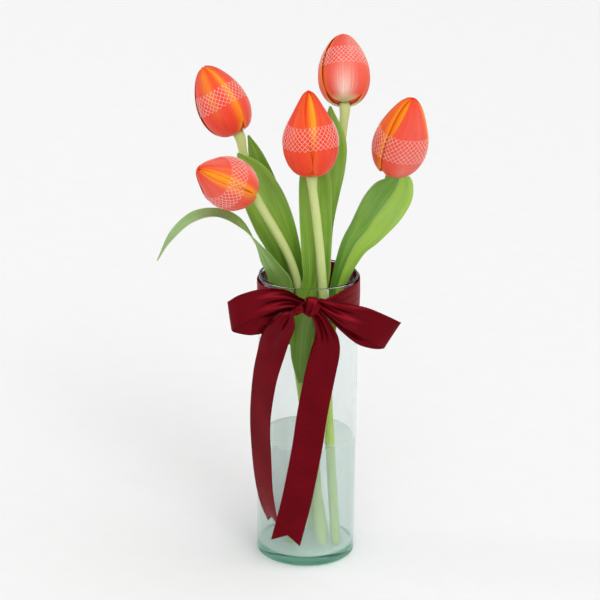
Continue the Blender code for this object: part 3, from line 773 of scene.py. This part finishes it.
def pistil_finish(tree):
    streak = placed(tree, streaks_group(), Across=12.0, Along=2.0, Seed=4.0).outputs[0]
    mottle = placed(tree, grain_group(), Fine=1800.0, Coarse=300.0)
    base = mixed(tree, streak, rgba((0.70, 0.76, 0.42)), rgba((0.86, 0.86, 0.56)))
    base = mixed(tree, times(tree, mottle.outputs[0], 0.3), base, rgba((0.93, 0.90, 0.62)))
    rough = ranged(tree, mottle.outputs[0], 0.0, 1.0, 0.42, 0.6)
    shader_of(tree, base, rough, mottle.outputs[0], 0.1)


def pollen_finish(tree):
    mottle = placed(tree, grain_group(), Fine=2500.0, Coarse=500.0)
    base = mixed(tree, mottle.outputs[0], rgba((0.16, 0.10, 0.16)), rgba((0.42, 0.30, 0.24)))
    rough = ranged(tree, mottle.outputs[1], 0.0, 1.0, 0.7, 0.9)
    shader_of(tree, base, rough, mottle.outputs[0], 0.15)


def clear_finish(tree, ior, base, absorb, density, mirror):
    """Clear glass or water, nearly open to shadow rays, so that lamps light what is inside."""
    mottle = placed(tree, grain_group(), Fine=90.0, Coarse=14.0)
    tinted = mixed(tree, mottle.outputs[1], rgba(base), (0.97, 0.97, 0.97, 1.0))
    rough = times(tree, mottle.outputs[0], 0.0005)
    shader = shader_of(
        tree, tinted, rough, mottle.outputs[1], 0.001, Transmission_Weight=1.0, IOR=ior,
        Specular_Tint=(mirror, mirror, mirror, 1.0))
    shadow = add(tree, "ShaderNodeLightPath").outputs["Is Shadow Ray"]
    wire(tree, shader.inputs["Alpha"], ranged(tree, shadow, 0.0, 1.0, 1.0, 0.03))
    soak = add(tree, "ShaderNodeVolumeAbsorption", {"Color": absorb, "Density": density})
    wire(tree, tree.nodes["Material Output"].inputs["Volume"], soak.outputs[0])


def floor_finish(tree):
    mottle = placed(tree, grain_group(), Fine=40.0, Coarse=3.0)
    base = mixed(tree, mottle.outputs[0], rgba((0.945, 0.945, 0.945)), rgba((0.95, 0.95, 0.95)))
    shader_of(tree, base, 0.85, Specular_IOR_Level=0.1)


def leaf_colours(light_share, dark_share):
    tints = colours()
    light = [a * b for a, b in zip(tints.leaf_light, light_share)]
    dark = [a * b for a, b in zip(tints.leaf_dark, dark_share)]
    return light, dark


FINISHES = {
    "petal": petal_finish,
    "leaf": lambda tree: leaf_finish(tree, *leaf_colours((1, 1, 1), (1, 1, 1)), bloom=0.08),
    "bloomed_leaf": lambda tree: leaf_finish(
        tree, *leaf_colours((1, 1, 1.2), (1.1, 1.05, 1.5)), bloom=0.45),
    # The right broad leaf: painted shade on its left half, painted light on its right half, and a bluer
    # dark green.
    "half_shaded_leaf": lambda tree: leaf_finish(
        tree, *leaf_colours((1, 1, 1), (1, 1, 1.3)), bloom=0.12, half_shade=0.35),
    "stem": stem_finish,
    "satin": satin_finish,
    "net": net_finish,
    "pistil": pistil_finish,
    "pollen": pollen_finish,
    "glass": lambda tree: clear_finish(
        tree, ior=1.47, base=(0.965, 0.972, 0.975), absorb=(0.02, 0.72, 0.48, 1.0),
        density=15.0, mirror=0.25),
    "water": lambda tree: clear_finish(
        tree, ior=1.333, base=(0.985, 0.995, 0.985), absorb=(0.45, 0.85, 0.55, 1.0),
        density=1.4, mirror=0.0),
    "floor": floor_finish,
}


def material(finish):
    made = bpy.data.materials.get(finish)
    if made is None:
        made = bpy.data.materials.new(finish)
        made.use_nodes = True
        FINISHES[finish](made.node_tree)
    return made


# ---- geometry node trees ---------------------------------------------------
def geometry_tree(name, inputs):
    tree = bpy.data.node_groups.new(name, "GeometryNodeTree")
    tree.interface.new_socket("Geometry", in_out="INPUT", socket_type="NodeSocketGeometry")
    for label, kind, default in inputs:
        socket = tree.interface.new_socket(label, in_out="INPUT", socket_type=kind)
        if default is not None:
            socket.default_value = default
    tree.interface.new_socket("Geometry", in_out="OUTPUT", socket_type="NodeSocketGeometry")
    return tree, tree.nodes.new("NodeGroupInput"), tree.nodes.new("NodeGroupOutput")


def end_tree(tree, geometry, start, end):
    smooth = add(tree, "GeometryNodeSetShadeSmooth", {"Geometry": geometry})
    real = add(tree, "GeometryNodeRealizeInstances", {"Geometry": smooth.outputs[0]})
    painted = add(tree, "GeometryNodeSetMaterial", {
        "Geometry": real.outputs[0], "Material": start.outputs["Material"]})
    tree.links.new(painted.outputs[0], end.inputs["Geometry"])


def strands_tree():
    """Round strands along every line of the guide."""
    if "Strands" in bpy.data.node_groups:
        return bpy.data.node_groups["Strands"]
    tree, start, end = geometry_tree("Strands", (
        ("Strand radius", "NodeSocketFloat", 0.2 * MM), ("Strand sides", "NodeSocketInt", 5),
        ("Material", "NodeSocketMaterial", None)))
    lines = add(tree, "GeometryNodeMeshToCurve", {"Mesh": start.outputs["Geometry"]})
    ring = add(tree, "GeometryNodeCurvePrimitiveCircle", {
        "Resolution": start.outputs["Strand sides"], "Radius": start.outputs["Strand radius"]})
    tubes = add(tree, "GeometryNodeCurveToMesh", {
        "Curve": lines.outputs[0], "Profile Curve": ring.outputs[0], "Fill Caps": True})
    end_tree(tree, tubes.outputs[0], start, end)
    return tree


def stamens_tree():
    """Copies of one stamen, turned evenly round the bud's axis."""
    if "Stamens" in bpy.data.node_groups:
        return bpy.data.node_groups["Stamens"]
    tree, start, end = geometry_tree("Stamens", (
        ("Count", "NodeSocketInt", 6), ("Ring radius", "NodeSocketFloat", 4 * MM),
        ("Material", "NodeSocketMaterial", None)))
    ring = add(tree, "GeometryNodeMeshCircle", {
        "Vertices": start.outputs["Count"], "Radius": start.outputs["Ring radius"]})
    index = add(tree, "GeometryNodeInputIndex")
    share = maths(tree, "DIVIDE", index.outputs[0], start.outputs["Count"])
    spin = add(tree, "ShaderNodeCombineXYZ", {2: times(tree, share, 2 * math.pi)})
    copies = add(tree, "GeometryNodeInstanceOnPoints", {
        "Points": ring.outputs[0], "Instance": start.outputs["Geometry"], "Rotation": spin.outputs[0]})
    end_tree(tree, copies.outputs[0], start, end)
    return tree


def grown(name, guide, tree, values):
    """The plain mesh that a geometry tree makes from a guide mesh."""
    holder = bpy.data.objects.new(name + "_guide", guide)
    bpy.context.scene.collection.objects.link(holder)
    modifier = holder.modifiers.new("grow", "NODES")
    modifier.node_group = tree
    for item in tree.interface.items_tree:
        if item.item_type == "SOCKET" and item.in_out == "INPUT" and item.name in values:
            modifier[item.identifier] = values[item.name]
    shown = holder.evaluated_get(bpy.context.evaluated_depsgraph_get())
    mesh = bpy.data.meshes.new_from_object(shown)
    mesh.name = name
    bpy.data.objects.remove(holder)
    if len(mesh.polygons) == 0:
        raise RuntimeError(name + " came out empty")
    return mesh


def line_guide(name, lines):
    """Loose lines for a strand tree to follow, in millimetres."""
    points, edges = [], []
    for line in lines:
        first = len(points)
        points += [tuple(np.asarray(point) * MM) for point in line]
        edges += [(first + step, first + step + 1) for step in range(len(line) - 1)]
    mesh = bpy.data.meshes.new(name)
    mesh.from_pydata(points, edges, [])
    return mesh


# ---- buds ------------------------------------------------------------------
def bud_axes(flower):
    """Columns front, side and up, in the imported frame."""
    up = Vector(flower["axis"]).normalized()
    front = Vector((0, -1, 0))
    front = (front - up * front.dot(up)).normalized()
    return np.array(Matrix((front, up.cross(front), up)).transposed())


def from_bud(flower, points):
    """Points in the bud's own axes, moved to its place."""
    return np.asarray(points) @ bud_axes(flower).T + np.array(flower["base"])


def petal_name(flower_name, index):
    kind = "outer" if index < 3 else "inner"
    return f"petal_{flower_name}_{kind}_{index % 3 + 1}"


def petal_grid(flower, index, looks):
    """Points over one petal and its tints, in the bud's own axes."""
    outer = index < 3
    left_open, right_open, pink, left_gold, right_gold, heart, heart_place, cream = looks
    turn = flower["turn"] + 120 * (index % 3) + (0 if outer else 60)
    spans = OUTER_SPAN if outer else INNER_SPAN
    inset, share = (0.0, 1.0) if outer else (INNER_INSET, INNER_LENGTH)
    outline = smooth_stations(BUD_OUTLINE, PETAL_ROWS, place=2)
    v = np.linspace(0, 1, PETAL_ROWS)[:, None]
    u = np.linspace(-1, 1, PETAL_COLUMNS)[None, :]
    span = np.interp(v, np.linspace(0, 1, len(spans)), spans)
    opened = np.where(u < 0, left_open, right_open) * ease(v, 0.22, 0.8)
    overlap = (LAP if outer else 0) * ease(u, 0.5, 1.0) * ease(v, 0.1, 0.3)
    angle = np.radians(turn + span * u * (1 - 0.5 * opened) + overlap)
    crest = np.sin(np.pi * np.clip(v * 1.05, 0, 1))
    narrowed = 1 - flower.get("taper", 0.05) * ease(outline[:, 1:2], 0.42, 0.95)
    radius = outline[:, :1] * flower["radius"] * narrowed - inset
    radius = radius - (0.75 if outer else 0.4) * np.exp(-((u / 0.10) ** 2)) * crest
    if outer:
        edge = ease(u, 0.45, 1.0) * 0.95 - ease(-u, 0.55, 1.0) * 0.4
    else:
        edge = -0.1 * ease(np.abs(u), 0.78, 1.0)
    radius = radius + edge * crest
    ripple = np.sin(9 * v + 2.1 * index + flower["turn"]) * ease(np.abs(u), 0.5, 1.0) * crest
    radius = np.maximum(radius + 0.16 * ripple, 0.3)
    height = inset + outline[:, 1:2] * flower["length"] * share + 0 * u
    height = height - 2.6 * u * u * ease(v, 0.9, 1.0)
    points = np.stack([radius * np.cos(angle), radius * np.sin(angle), height], axis=-1)

    tip = ease(v, 0.6, 0.98)
    pinkness = pink * (1 - 0.65 * tip) * (0.85 + 0.15 * np.cos(np.pi * u)) + 0 * u
    low, high = flower["net"]
    netted = ease(v, low - 0.05, low + 0.02) * (1 - ease(v, high - 0.02, high + 0.05))
    pinkness = np.clip(pinkness + 0.06 * netted, 0, 1)
    gold = left_gold * ease(-u, 0.68, 0.98) + right_gold * ease(u, 0.68, 0.98)
    gold = gold * (1 - 0.5 * ease(v, 0.93, 1.0))
    blaze = np.exp(-(((u - heart_place * (0.6 + 0.4 * v)) / (0.08 + 0.26 * ease(v, 0.3, 0.75))) ** 2))
    gold = gold + heart * blaze * ease(v, 0.3, 0.55) * (1 - 0.75 * ease(v, 0.8, 1.0))
    pale = cream * np.exp(-((u / 0.42) ** 2)) * np.exp(-(((v - 0.24) / 0.17) ** 2))
    pale = pale + 0.3 * cream * ease(u, -0.4, 0.9) * np.exp(-(((v - 0.7) / 0.2) ** 2))
    green_top = flower.get("green_foot", 0.09)
    green = (1 - ease(v, 0.45 * green_top, green_top)) * (1 if outer else 0) + 0 * u
    tint = np.stack([pinkness, np.clip(gold, 0, 1), np.clip(pale, 0, 1), green], axis=-1)
    return points, tint


def net_lines(flower, cell, petals):
    """Slanting lines both ways round the bud, laid on its petals."""
    trees = [BVHTree.FromPolygons(points, faces) for points, faces in petals]
    low, high = flower["net"]
    outline = smooth_stations(BUD_OUTLINE, 60, place=2)
    count = round(2 * math.pi * flower["radius"] / cell)
    lean = (high - low) * flower["length"] / cell
    lines = []
    for way in (-1, 1):
        for strand in range(count):
            line = []
            for step in range(NET_STEPS + 1):
                share = step / NET_STEPS
                angle = 2 * math.pi * (strand + way * lean * share) / count
                height = low + (high - low) * share + NET_WAVE * math.sin(3 * angle)
                level = Vector((0, 0, height * flower["length"]))
                outward = Vector((math.cos(angle), math.sin(angle), 0))
                reach = np.interp(height, outline[:, 1], outline[:, 0]) * flower["radius"]
                start = outward * (reach + NET_SEARCH_FROM) + level
                hits = [tree.ray_cast(start, -outward, NET_SEARCH_REACH) for tree in trees]
                reaches = [hit[0].dot(outward) for hit in hits if hit[0] is not None]
                reach = max(reaches) if reaches else reach
                line.append(outward * (reach + NET_LIFT + NET_LIFT_SWAP * way) + level)
            lines.append(from_bud(flower, [tuple(point) for point in line]))
    return lines


def stem_route(flower, count):
    """A stem's line from the vase floor up into its bud, with its bends eased."""
    foot, *rest = flower["stem"]
    base = np.array(flower["base"])
    axis = np.array(flower["axis"]) / np.linalg.norm(flower["axis"])
    points = [(foot[0], foot[1], FOOT_Z), *rest, *(base + step * axis for step in NECK_STEPS)]
    route = smooth_stations(points, count)
    eased = route.copy()
    for index in range(count):
        span = min(STEM_EASE_REACH, index, count - 1 - index)
        eased[index] = route[index - span:index + span + 1].mean(axis=0)
    return eased


# ---- ribbon ----------------------------------------------------------------
def pleated(flat_width, width, share, phase):
    """How far a gathered strip stands off its middle line at a share across it."""
    spare = max(flat_width / max(width, 1.0) - 1, 0)
    depth = min(width / (2 * math.pi * PLEATS) * 2 * math.sqrt(spare), PLEAT_MOST_DEPTH)
    return depth * math.sin(2 * math.pi * PLEATS * share + phase)


def strip_grid(stations, rows, flat_width, notch=0.0, phase=0.0, curl=0.0, square=True):
    """Points over a ribbon strip, pleated wherever it is narrower than it is cut."""
    flat = [(*centre, width, *across) for centre, width, across in stations]
    line = smooth_stations(flat, rows)
    tangents = np.gradient(line[:, :3], axis=0)
    along = lengths_along(line[:, :3])
    grid = []
    for index, (row, tangent) in enumerate(zip(line, tangents)):
        tangent = Vector(tangent).normalized()
        across = Vector(row[4:7])
        if square:
            across = across - tangent * across.dot(tangent)
        across.normalize()
        face = across.cross(tangent).normalized()
        width = float(row[3])
        points = []
        for column in range(STRIP_COLUMNS):
            share = column / (STRIP_COLUMNS - 1) - 0.5
            lift = pleated(flat_width, width, share, phase)
            lift += curl * (4 * share * share - 0.33) * math.sin(along[index] / CURL_LENGTH + phase)
            point = Vector(row[:3]) + across * (share * width) + face * lift
            if notch:
                cut = notch * (1 - 2 * abs(share))
                near = ease(index / (rows - 1), NOTCH_FROM, 1.0)
                point -= tangent * float(cut * near)
            points.append(tuple(point))
        grid.append(points)
    return np.array(grid), along


def edge_cords(name, grid, ring=False):
    """The woven edge cords of a strip, as one piece."""
    lines = [grid[:, 0], grid[:, -1]]
    if ring:
        lines = [np.vstack([grid[0], grid[0][:1]]), np.vstack([grid[-1], grid[-1][:1]])]
    values = {"Strand radius": sizes().selvedge_radius, "Strand sides": 6, "Material": material("satin")}
    mesh = grown(name, line_guide(name, lines), strands_tree(), values)
    return finish_piece(name, mesh, None)


def ribbon_piece(name, grid, along, ring=False):
    """A strip of satin and its edge cords, in place of the imported part of that name."""
    mesh = grid_mesh(name, grid, along, ring)
    piece = finish_piece(name + "_satin", mesh, "satin", name)
    thicken(piece, sizes().ribbon_thickness, 0)
    cords = edge_cords(name + "_selvedge", grid, ring)
    return piece


# ---- operators -------------------------------------------------------------
class TULIPS_OT_vase(bpy.types.Operator):
    """Turn the glass cylinder with its thick base, rounded foot and fire-polished lip"""

    bl_idname = "tulips.vase"
    bl_label = "Glass Vase"

    def execute(self, context):
        inner = VASE_RADIUS - WALL
        lip = WALL / 2
        outline = [(0, PUNT_RISE), (12, PUNT_RISE * 0.93), (24, PUNT_RISE * 0.6), (31, 0.4), (34, 0)]
        outline += arc((VASE_RADIUS - FOOT_ROUND, FOOT_ROUND), FOOT_ROUND, -90, 0, 9)
        outline += [(VASE_RADIUS, height) for height in np.linspace(12, VASE_HEIGHT - 8, 14)]
        outline += arc((VASE_RADIUS - lip, VASE_HEIGHT - lip), lip, 0, 180, 13)
        outline += [(inner, height) for height in np.linspace(VASE_HEIGHT - 8, BASE_THICKNESS + 6, 14)]
        outline += arc((inner - 3, BASE_THICKNESS + 3), 3, 0, -90, 8)
        outline += [(24, BASE_THICKNESS + 0.15), (12, BASE_THICKNESS + 0.5), (0, BASE_THICKNESS + 0.6)]
        mesh = turned_mesh("glass_wall", outline, ROUND_STEPS)
        finish_piece("vase_glass", mesh, "glass", "glass_vase")
        return {"FINISHED"}


class TULIPS_OT_water(bpy.types.Operator):
    """Fill the vase to its water line, with the water climbing a little at the glass"""

    bl_idname = "tulips.water"
    bl_label = "Water"

    def execute(self, context):
        radius = VASE_RADIUS - WALL + WET_OVERLAP
        floor = BASE_THICKNESS - WET_OVERLAP
        outline = [(0, floor + 0.6), (12, floor + 0.5), (24, floor + 0.15)]
        outline += arc((radius - 3, floor + 3), 3, -90, 0, 8)
        outline += [(radius, height) for height in np.linspace(22, WATER_LEVEL - 1.0, 10)]
        climb = [(0.0, 0.6), (0.5, 0.2), (1.2, -0.15), (2.2, -0.45), (3.6, -0.6)]
        outline += [(radius - inwards, WATER_LEVEL + rise) for inwards, rise in climb]
        outline += [(20, WATER_LEVEL - 0.65), (0, WATER_LEVEL - 0.65)]
        mesh = turned_mesh("water_body", outline, ROUND_STEPS)
        finish_piece("vase_water", mesh, "water", "water")
        return {"FINISHED"}


class TULIPS_OT_stems(bpy.types.Operator):
    """Grow the five stems from their cut ends up into the buds"""

    bl_idname = "tulips.stems"
    bl_label = "Stems"

    def execute(self, context):
        for name, flower in FLOWERS.items():
            route = stem_route(flower, STEM_RINGS)
            share = np.linspace(0, 1, STEM_RINGS)
            radii = STEM_RADIUS * (1.03 - 0.08 * share) + 0.05 * np.sin(share * 31)
            neck = ease(share, 0.955, 1.0)
            radii = radii + neck * (RECEPTACLE_RADIUS - STEM_RADIUS)
            mesh = tube_mesh("stem_" + name, route, radii, 20, ribs=0.012)
            finish_piece(f"tulip_stem_{name}", mesh, "stem", f"stem_{name}")
        return {"FINISHED"}


class TULIPS_OT_petals(bpy.types.Operator):
    """Shape the six petals of every bud, three outer over three inner"""

    bl_idname = "tulips.petals"
    bl_label = "Petals"

    def execute(self, context):
        for name, flower in FLOWERS.items():
            for index, looks in enumerate(PETALS[name]):
                points, tint = petal_grid(flower, index, looks)
                node = petal_name(name, index)
                mesh = grid_mesh(node, from_bud(flower, points), tint=tint)
                piece = finish_piece("tulip_" + node, mesh, "petal", node)
                thicken(piece, sizes().petal_thickness, -1, levels=1)
        return {"FINISHED"}


class TULIPS_OT_hearts(bpy.types.Operator):
    """Set the pistil and the six stamens inside every bud"""

    bl_idname = "tulips.hearts"
    bl_label = "Pistils and Stamens"

    def execute(self, context):
        outline = [(radius, PISTIL_HEIGHT * share) for radius, share in PISTIL_OUTLINE]
        for name, flower in FLOWERS.items():
            place = Matrix(bud_axes(flower)).to_4x4()
            place.translation = Vector(flower["base"]) * MM
            pistil = turned_mesh("pistil", outline, 24)
            for vertex in pistil.vertices:
                angle = math.atan2(vertex.co.y, vertex.co.x)
                flare = max(vertex.co.z / MM / PISTIL_HEIGHT - PISTIL_LOBES_FROM, 0)
                lobes = 1 + 1.6 * flare * math.cos(3 * angle)
                vertex.co.x *= lobes
                vertex.co.y *= lobes
            pistil.transform(place)
            finish_piece("tulip_pistil_" + name, pistil, "pistil", "pistil_" + name)
            thread = tube_mesh("thread", THREAD_LINE, THREAD_RADII, 7)
            head = tube_mesh("head", HEAD_LINE, HEAD_RADII, 9)
            stamen = joined("stamen", [thread, head])
            values = {
                "Count": STAMEN_COUNT, "Ring radius": STAMEN_RING * MM, "Material": material("pollen")}
            mesh = grown("stamens_" + name, stamen, stamens_tree(), values)
            mesh.transform(place)
            finish_piece("tulip_stamens_" + name, mesh, None)
        return {"FINISHED"}


class TULIPS_OT_nets(bpy.types.Operator):
    """Lay a band of fine diamond net round every bud"""

    bl_idname = "tulips.nets"
    bl_label = "Bud Nets"

    def execute(self, context):
        cell = sizes().net_cell / MM
        for name, flower in FLOWERS.items():
            petals = []
            for index, looks in enumerate(PETALS[name]):
                points, _ = petal_grid(flower, index, looks)
                faces = [
                    (first, first + 1, first + PETAL_COLUMNS + 1, first + PETAL_COLUMNS)
                    for row in range(PETAL_ROWS - 1)
                    for first in range(row * PETAL_COLUMNS, (row + 1) * PETAL_COLUMNS - 1)
                ]
                petals.append(([tuple(point) for point in points.reshape(-1, 3)], faces))
            guide = line_guide("net_" + name, net_lines(flower, cell, petals))
            values = {
                "Strand radius": sizes().strand_radius, "Strand sides": 4, "Material": material("net")}
            mesh = grown("net_" + name, guide, strands_tree(), values)
            finish_piece("tulip_net_" + name, mesh, None, "bud_net_" + name)
        return {"FINISHED"}


class TULIPS_OT_leaves(bpy.types.Operator):
    """Shape the six leaves, cupped and gently waved along their edges"""

    bl_idname = "tulips.leaves"
    bl_label = "Leaves"

    def execute(self, context):
        for number, (name, (cup, stations)) in enumerate(LEAVES.items()):
            rows = smooth_stations(stations, LEAF_ROWS)
            tangents = np.gradient(rows[:, :3], axis=0)
            grid = []
            for index, (row, tangent) in enumerate(zip(rows, tangents)):
                tangent = Vector(tangent).normalized()
                heading = math.radians(row[4])
                across = Vector((math.cos(heading), math.sin(heading), float(row[5])))
                across = (across - tangent * across.dot(tangent)).normalized()
                face = across.cross(tangent)
                half = float(max(row[3], LEAF_LEAST_HALF_WIDTH))
                along = index / (LEAF_ROWS - 1)
                points = []
                for column in range(LEAF_COLUMNS):
                    share = 2 * column / (LEAF_COLUMNS - 1) - 1
                    bend = cup * half * share * share
                    rib = math.exp(-((share / LEAF_RIB_WIDTH) ** 2))
                    bend += LEAF_RIB_DEPTH * half * rib * math.copysign(1, cup)
                    wave = LEAF_WAVE * half * math.sin(11 * along + number + 1.6 * share) * share * share
                    offset = across * (share * half) + face * (bend + wave)
                    points.append(tuple(Vector(row[:3]) + offset))
                grid.append(points)
            mesh = grid_mesh(name, grid)
            piece = finish_piece("tulip_" + name, mesh, LEAF_FINISH[name], name)
            thicken(piece, sizes().leaf_thickness, 0, levels=1)
        return {"FINISHED"}


class TULIPS_OT_band(bpy.types.Operator):
    """Wrap the ribbon round the neck, drawn in towards the knot"""

    bl_idname = "tulips.band"
    bl_label = "Ribbon Band"

    def execute(self, context):
        inner = VASE_RADIUS + GAP
        width = sizes().ribbon_width / MM
        grid = []
        for step in range(BAND_STEPS):
            angle = 2 * math.pi * step / BAND_STEPS
            away = abs((math.degrees(angle) + 90 + 180) % 360 - 180)
            top = np.interp(away, BAND_ANGLES, BAND_TOP)
            bottom = np.interp(away, BAND_ANGLES, BAND_BOTTOM)
            rise = BAND_RIGHT_RISE * math.cos(angle)
            points = []
            for column in range(STRIP_COLUMNS):
                share = column / (STRIP_COLUMNS - 1)
                reach = inner + 0.3 + 0.5 * abs(pleated(width, top - bottom, share, 0.4))
                reach += 0.18 * (1 + math.sin(7 * angle + 4 * share))
                height = bottom + (top - bottom) * share + rise
                points.append((reach * math.cos(angle), reach * math.sin(angle), height))
            grid.append(points)
        grid = np.array(grid).transpose(1, 0, 2)
        girth = 2 * math.pi * inner
        mesh = grid_mesh("ribbon_band", grid, ring=True)
        layer = mesh.uv_layers[0].data
        places = np.zeros(len(layer) * 2, dtype=np.float32)
        layer.foreach_get("uv", places)
        places = places.reshape(-1, 2)[:, ::-1] * (1, girth / width)
        layer.foreach_set("uv", places.astype(np.float32).ravel())
        piece = finish_piece("ribbon_band_satin", mesh, "satin", "ribbon_band")
        thicken(piece, sizes().ribbon_thickness, 1)
        cords = edge_cords("ribbon_band_selvedge", grid, ring=True)
        return {"FINISHED"}


class TULIPS_OT_bow(bpy.types.Operator):
    """Fold the bow's two loops and hang its two swallow-tailed ends"""

    bl_idname = "tulips.bow"
    bl_label = "Bow Loops and Tails"

    def execute(self, context):
        width = sizes().ribbon_width / MM
        for name, stations in LOOPS.items():
            grid, along = strip_grid(stations, LOOP_ROWS, width, phase=0.7, curl=0.25, square=False)
            ribbon_piece(name, grid, along / width)
        for name, stations in TAILS.items():
            grid, along = strip_grid(stations, TAIL_ROWS, width, notch=NOTCH_DEPTH, phase=2.2, curl=0.35)
            ribbon_piece(name, grid, along / width)
        return {"FINISHED"}


class TULIPS_OT_knot(bpy.types.Operator):
    """Wrap the short pleated turn of ribbon that ties the bow"""

    bl_idname = "tulips.knot"
    bl_label = "Knot"

    def execute(self, context):
        half_x, half_y, half_z = KNOT_HALF_SIZE
        lean = Matrix.Rotation(math.radians(KNOT_LEAN), 3, "Y")
        grid = []
        for column in range(KNOT_COLUMNS):
            share = 2 * column / (KNOT_COLUMNS - 1) - 1
            reach = math.sqrt(1 - 0.62 * share * share)
            pleat = 0.55 * math.sin(2.0 * math.pi * (share + 1) + 0.6) * (1 - 0.6 * share * share)
            row = []
            for step in range(KNOT_STEPS):
                angle = 2 * math.pi * step / KNOT_STEPS
                swing = 0.35 * math.sin(2 * angle + 3 * share)
                y = (half_y * reach + 0.7 * pleat + swing) * math.cos(angle)
                z = (half_z * reach + 0.5 * pleat + swing) * math.sin(angle)
                x = share * half_x * (1 - 0.22 * math.cos(angle) ** 2)
                row.append(tuple(Vector(KNOT_CENTRE) + lean @ Vector((x, y, z))))
            grid.append(row)
        ribbon_piece("ribbon_knot", np.array(grid), None, ring=True)
        core = bmesh.new()
        bmesh.ops.create_icosphere(core, subdivisions=3, radius=1)
        for vertex in core.verts:
            vertex.co = lean @ (vertex.co * Vector(KNOT_CORE))
            vertex.co = (vertex.co + Vector(KNOT_CENTRE)) * MM
        mesh = bpy.data.meshes.new("knot_core")
        core.to_mesh(mesh)
        core.free()
        mesh.uv_layers.new(name="UVMap")
        finish_piece("ribbon_knot_core", mesh, "satin")
        return {"FINISHED"}


class TULIPS_OT_stage(bpy.types.Operator):
    """Lay the pale floor and set the soft lights and the camera"""

    bl_idname = "tulips.stage"
    bl_label = "Stage"

    def execute(self, context):
        scene = context.scene
        reach = FLOOR_HALF * MM
        mesh = bpy.data.meshes.new("stage_floor")
        corners = [(-reach, -reach), (reach, -reach), (reach, reach), (-reach, reach)]
        mesh.from_pydata([(x, y, -FLOOR_DROP * MM) for x, y in corners], [], [(0, 1, 2, 3)])
        mesh.materials.append(material("floor"))
        floor = bpy.data.objects.new("stage_floor", mesh)
        scene.collection.objects.link(floor)

        world = bpy.data.worlds.new("studio")
        world.use_nodes = True
        tree = world.node_tree
        way = add(tree, "ShaderNodeTexCoord").outputs["Generated"]
        sky = add(tree, "ShaderNodeSeparateXYZ", {0: way})
        glow = ranged(tree, sky.outputs[2], HORIZON_EDGE, SKY_EDGE, HORIZON_GLOW, SKY_GLOW, smooth=True)
        wire(tree, tree.nodes["Background"].inputs["Strength"], glow)
        tree.nodes["Background"].inputs["Color"].default_value = (1.0, 1.0, 1.0, 1.0)
        scene.world = world
        scene.view_settings.view_transform = "Standard"
        for name, values in SUNS.items():
            self.sun(scene, name, *values)
        for name, values in SOFTBOXES.items():
            self.softbox(scene, name, *values)

        lens = bpy.data.cameras.new("camera")
        lens.lens = CAMERA_LENS
        lens.sensor_width = 36.0
        lens.clip_end = 100.0
        camera = bpy.data.objects.new("camera", lens)
        place = Vector(CAMERA_PLACE) * MM
        aim = Vector(CAMERA_AIM) * MM
        turn = (aim - place).to_track_quat("-Z", "Y").to_matrix().to_4x4()
        roll = Matrix.Rotation(math.radians(CAMERA_ROLL), 4, "Z")
        camera.matrix_world = Matrix.Translation(place) @ turn @ roll
        scene.collection.objects.link(camera)
        scene.camera = camera
        return {"FINISHED"}

    @staticmethod
    def sun(scene, name, strength, spread, angles):
        lamp = bpy.data.lights.new(name, "SUN")
        lamp.energy = strength
        lamp.angle = math.radians(spread)
        holder = bpy.data.objects.new(name, lamp)
        holder.rotation_euler = [math.radians(angle) for angle in angles]
        scene.collection.objects.link(holder)

    @staticmethod
    def softbox(scene, name, place, size, power):
        lamp = bpy.data.lights.new(name, "AREA")
        lamp.shape = "RECTANGLE"
        lamp.size, lamp.size_y = size[0] * MM, size[1] * MM
        lamp.energy = power
        holder = bpy.data.objects.new(name, lamp)
        spot = Vector(place) * MM
        turn = (Vector(SOFTBOX_AIM) * MM - spot).to_track_quat("-Z", "Y").to_matrix().to_4x4()
        holder.matrix_world = Matrix.Translation(spot) @ turn
        scene.collection.objects.link(holder)


class TULIPS_PT_panel(bpy.types.Panel):
    """Buttons for every piece, in the order they are made"""

    bl_idname = "TULIPS_PT_panel"
    bl_label = "Tulips in a Vase"
    bl_space_type = "VIEW_3D"
    bl_region_type = "UI"
    bl_category = "Tulips"

    def draw(self, context):
        for group in (context.scene.tulip_sizes, context.scene.tulip_colours):
            box = self.layout.box()
            for key in group.__annotations__:
                box.prop(group, key)
        for operator in OPERATORS:
            self.layout.operator(operator.bl_idname)


OPERATORS = (
    TULIPS_OT_vase, TULIPS_OT_water, TULIPS_OT_stems, TULIPS_OT_petals, TULIPS_OT_hearts, TULIPS_OT_nets,
    TULIPS_OT_leaves, TULIPS_OT_band, TULIPS_OT_bow, TULIPS_OT_knot, TULIPS_OT_stage,
)
CLASSES = (TulipSizes, TulipColours, *OPERATORS, TULIPS_PT_panel)


def register():
    for entry in CLASSES:
        bpy.utils.register_class(entry)
    bpy.types.Scene.tulip_sizes = bpy.props.PointerProperty(type=TulipSizes)
    bpy.types.Scene.tulip_colours = bpy.props.PointerProperty(type=TulipColours)


def unregister():
    del bpy.types.Scene.tulip_colours
    del bpy.types.Scene.tulip_sizes
    for entry in reversed(CLASSES):
        bpy.utils.unregister_class(entry)


def main():
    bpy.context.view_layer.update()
    register()
    for operator in OPERATORS:
        family, action = operator.bl_idname.split(".")
        getattr(getattr(bpy.ops, family), action)()


if __name__ == "__main__":
    main()
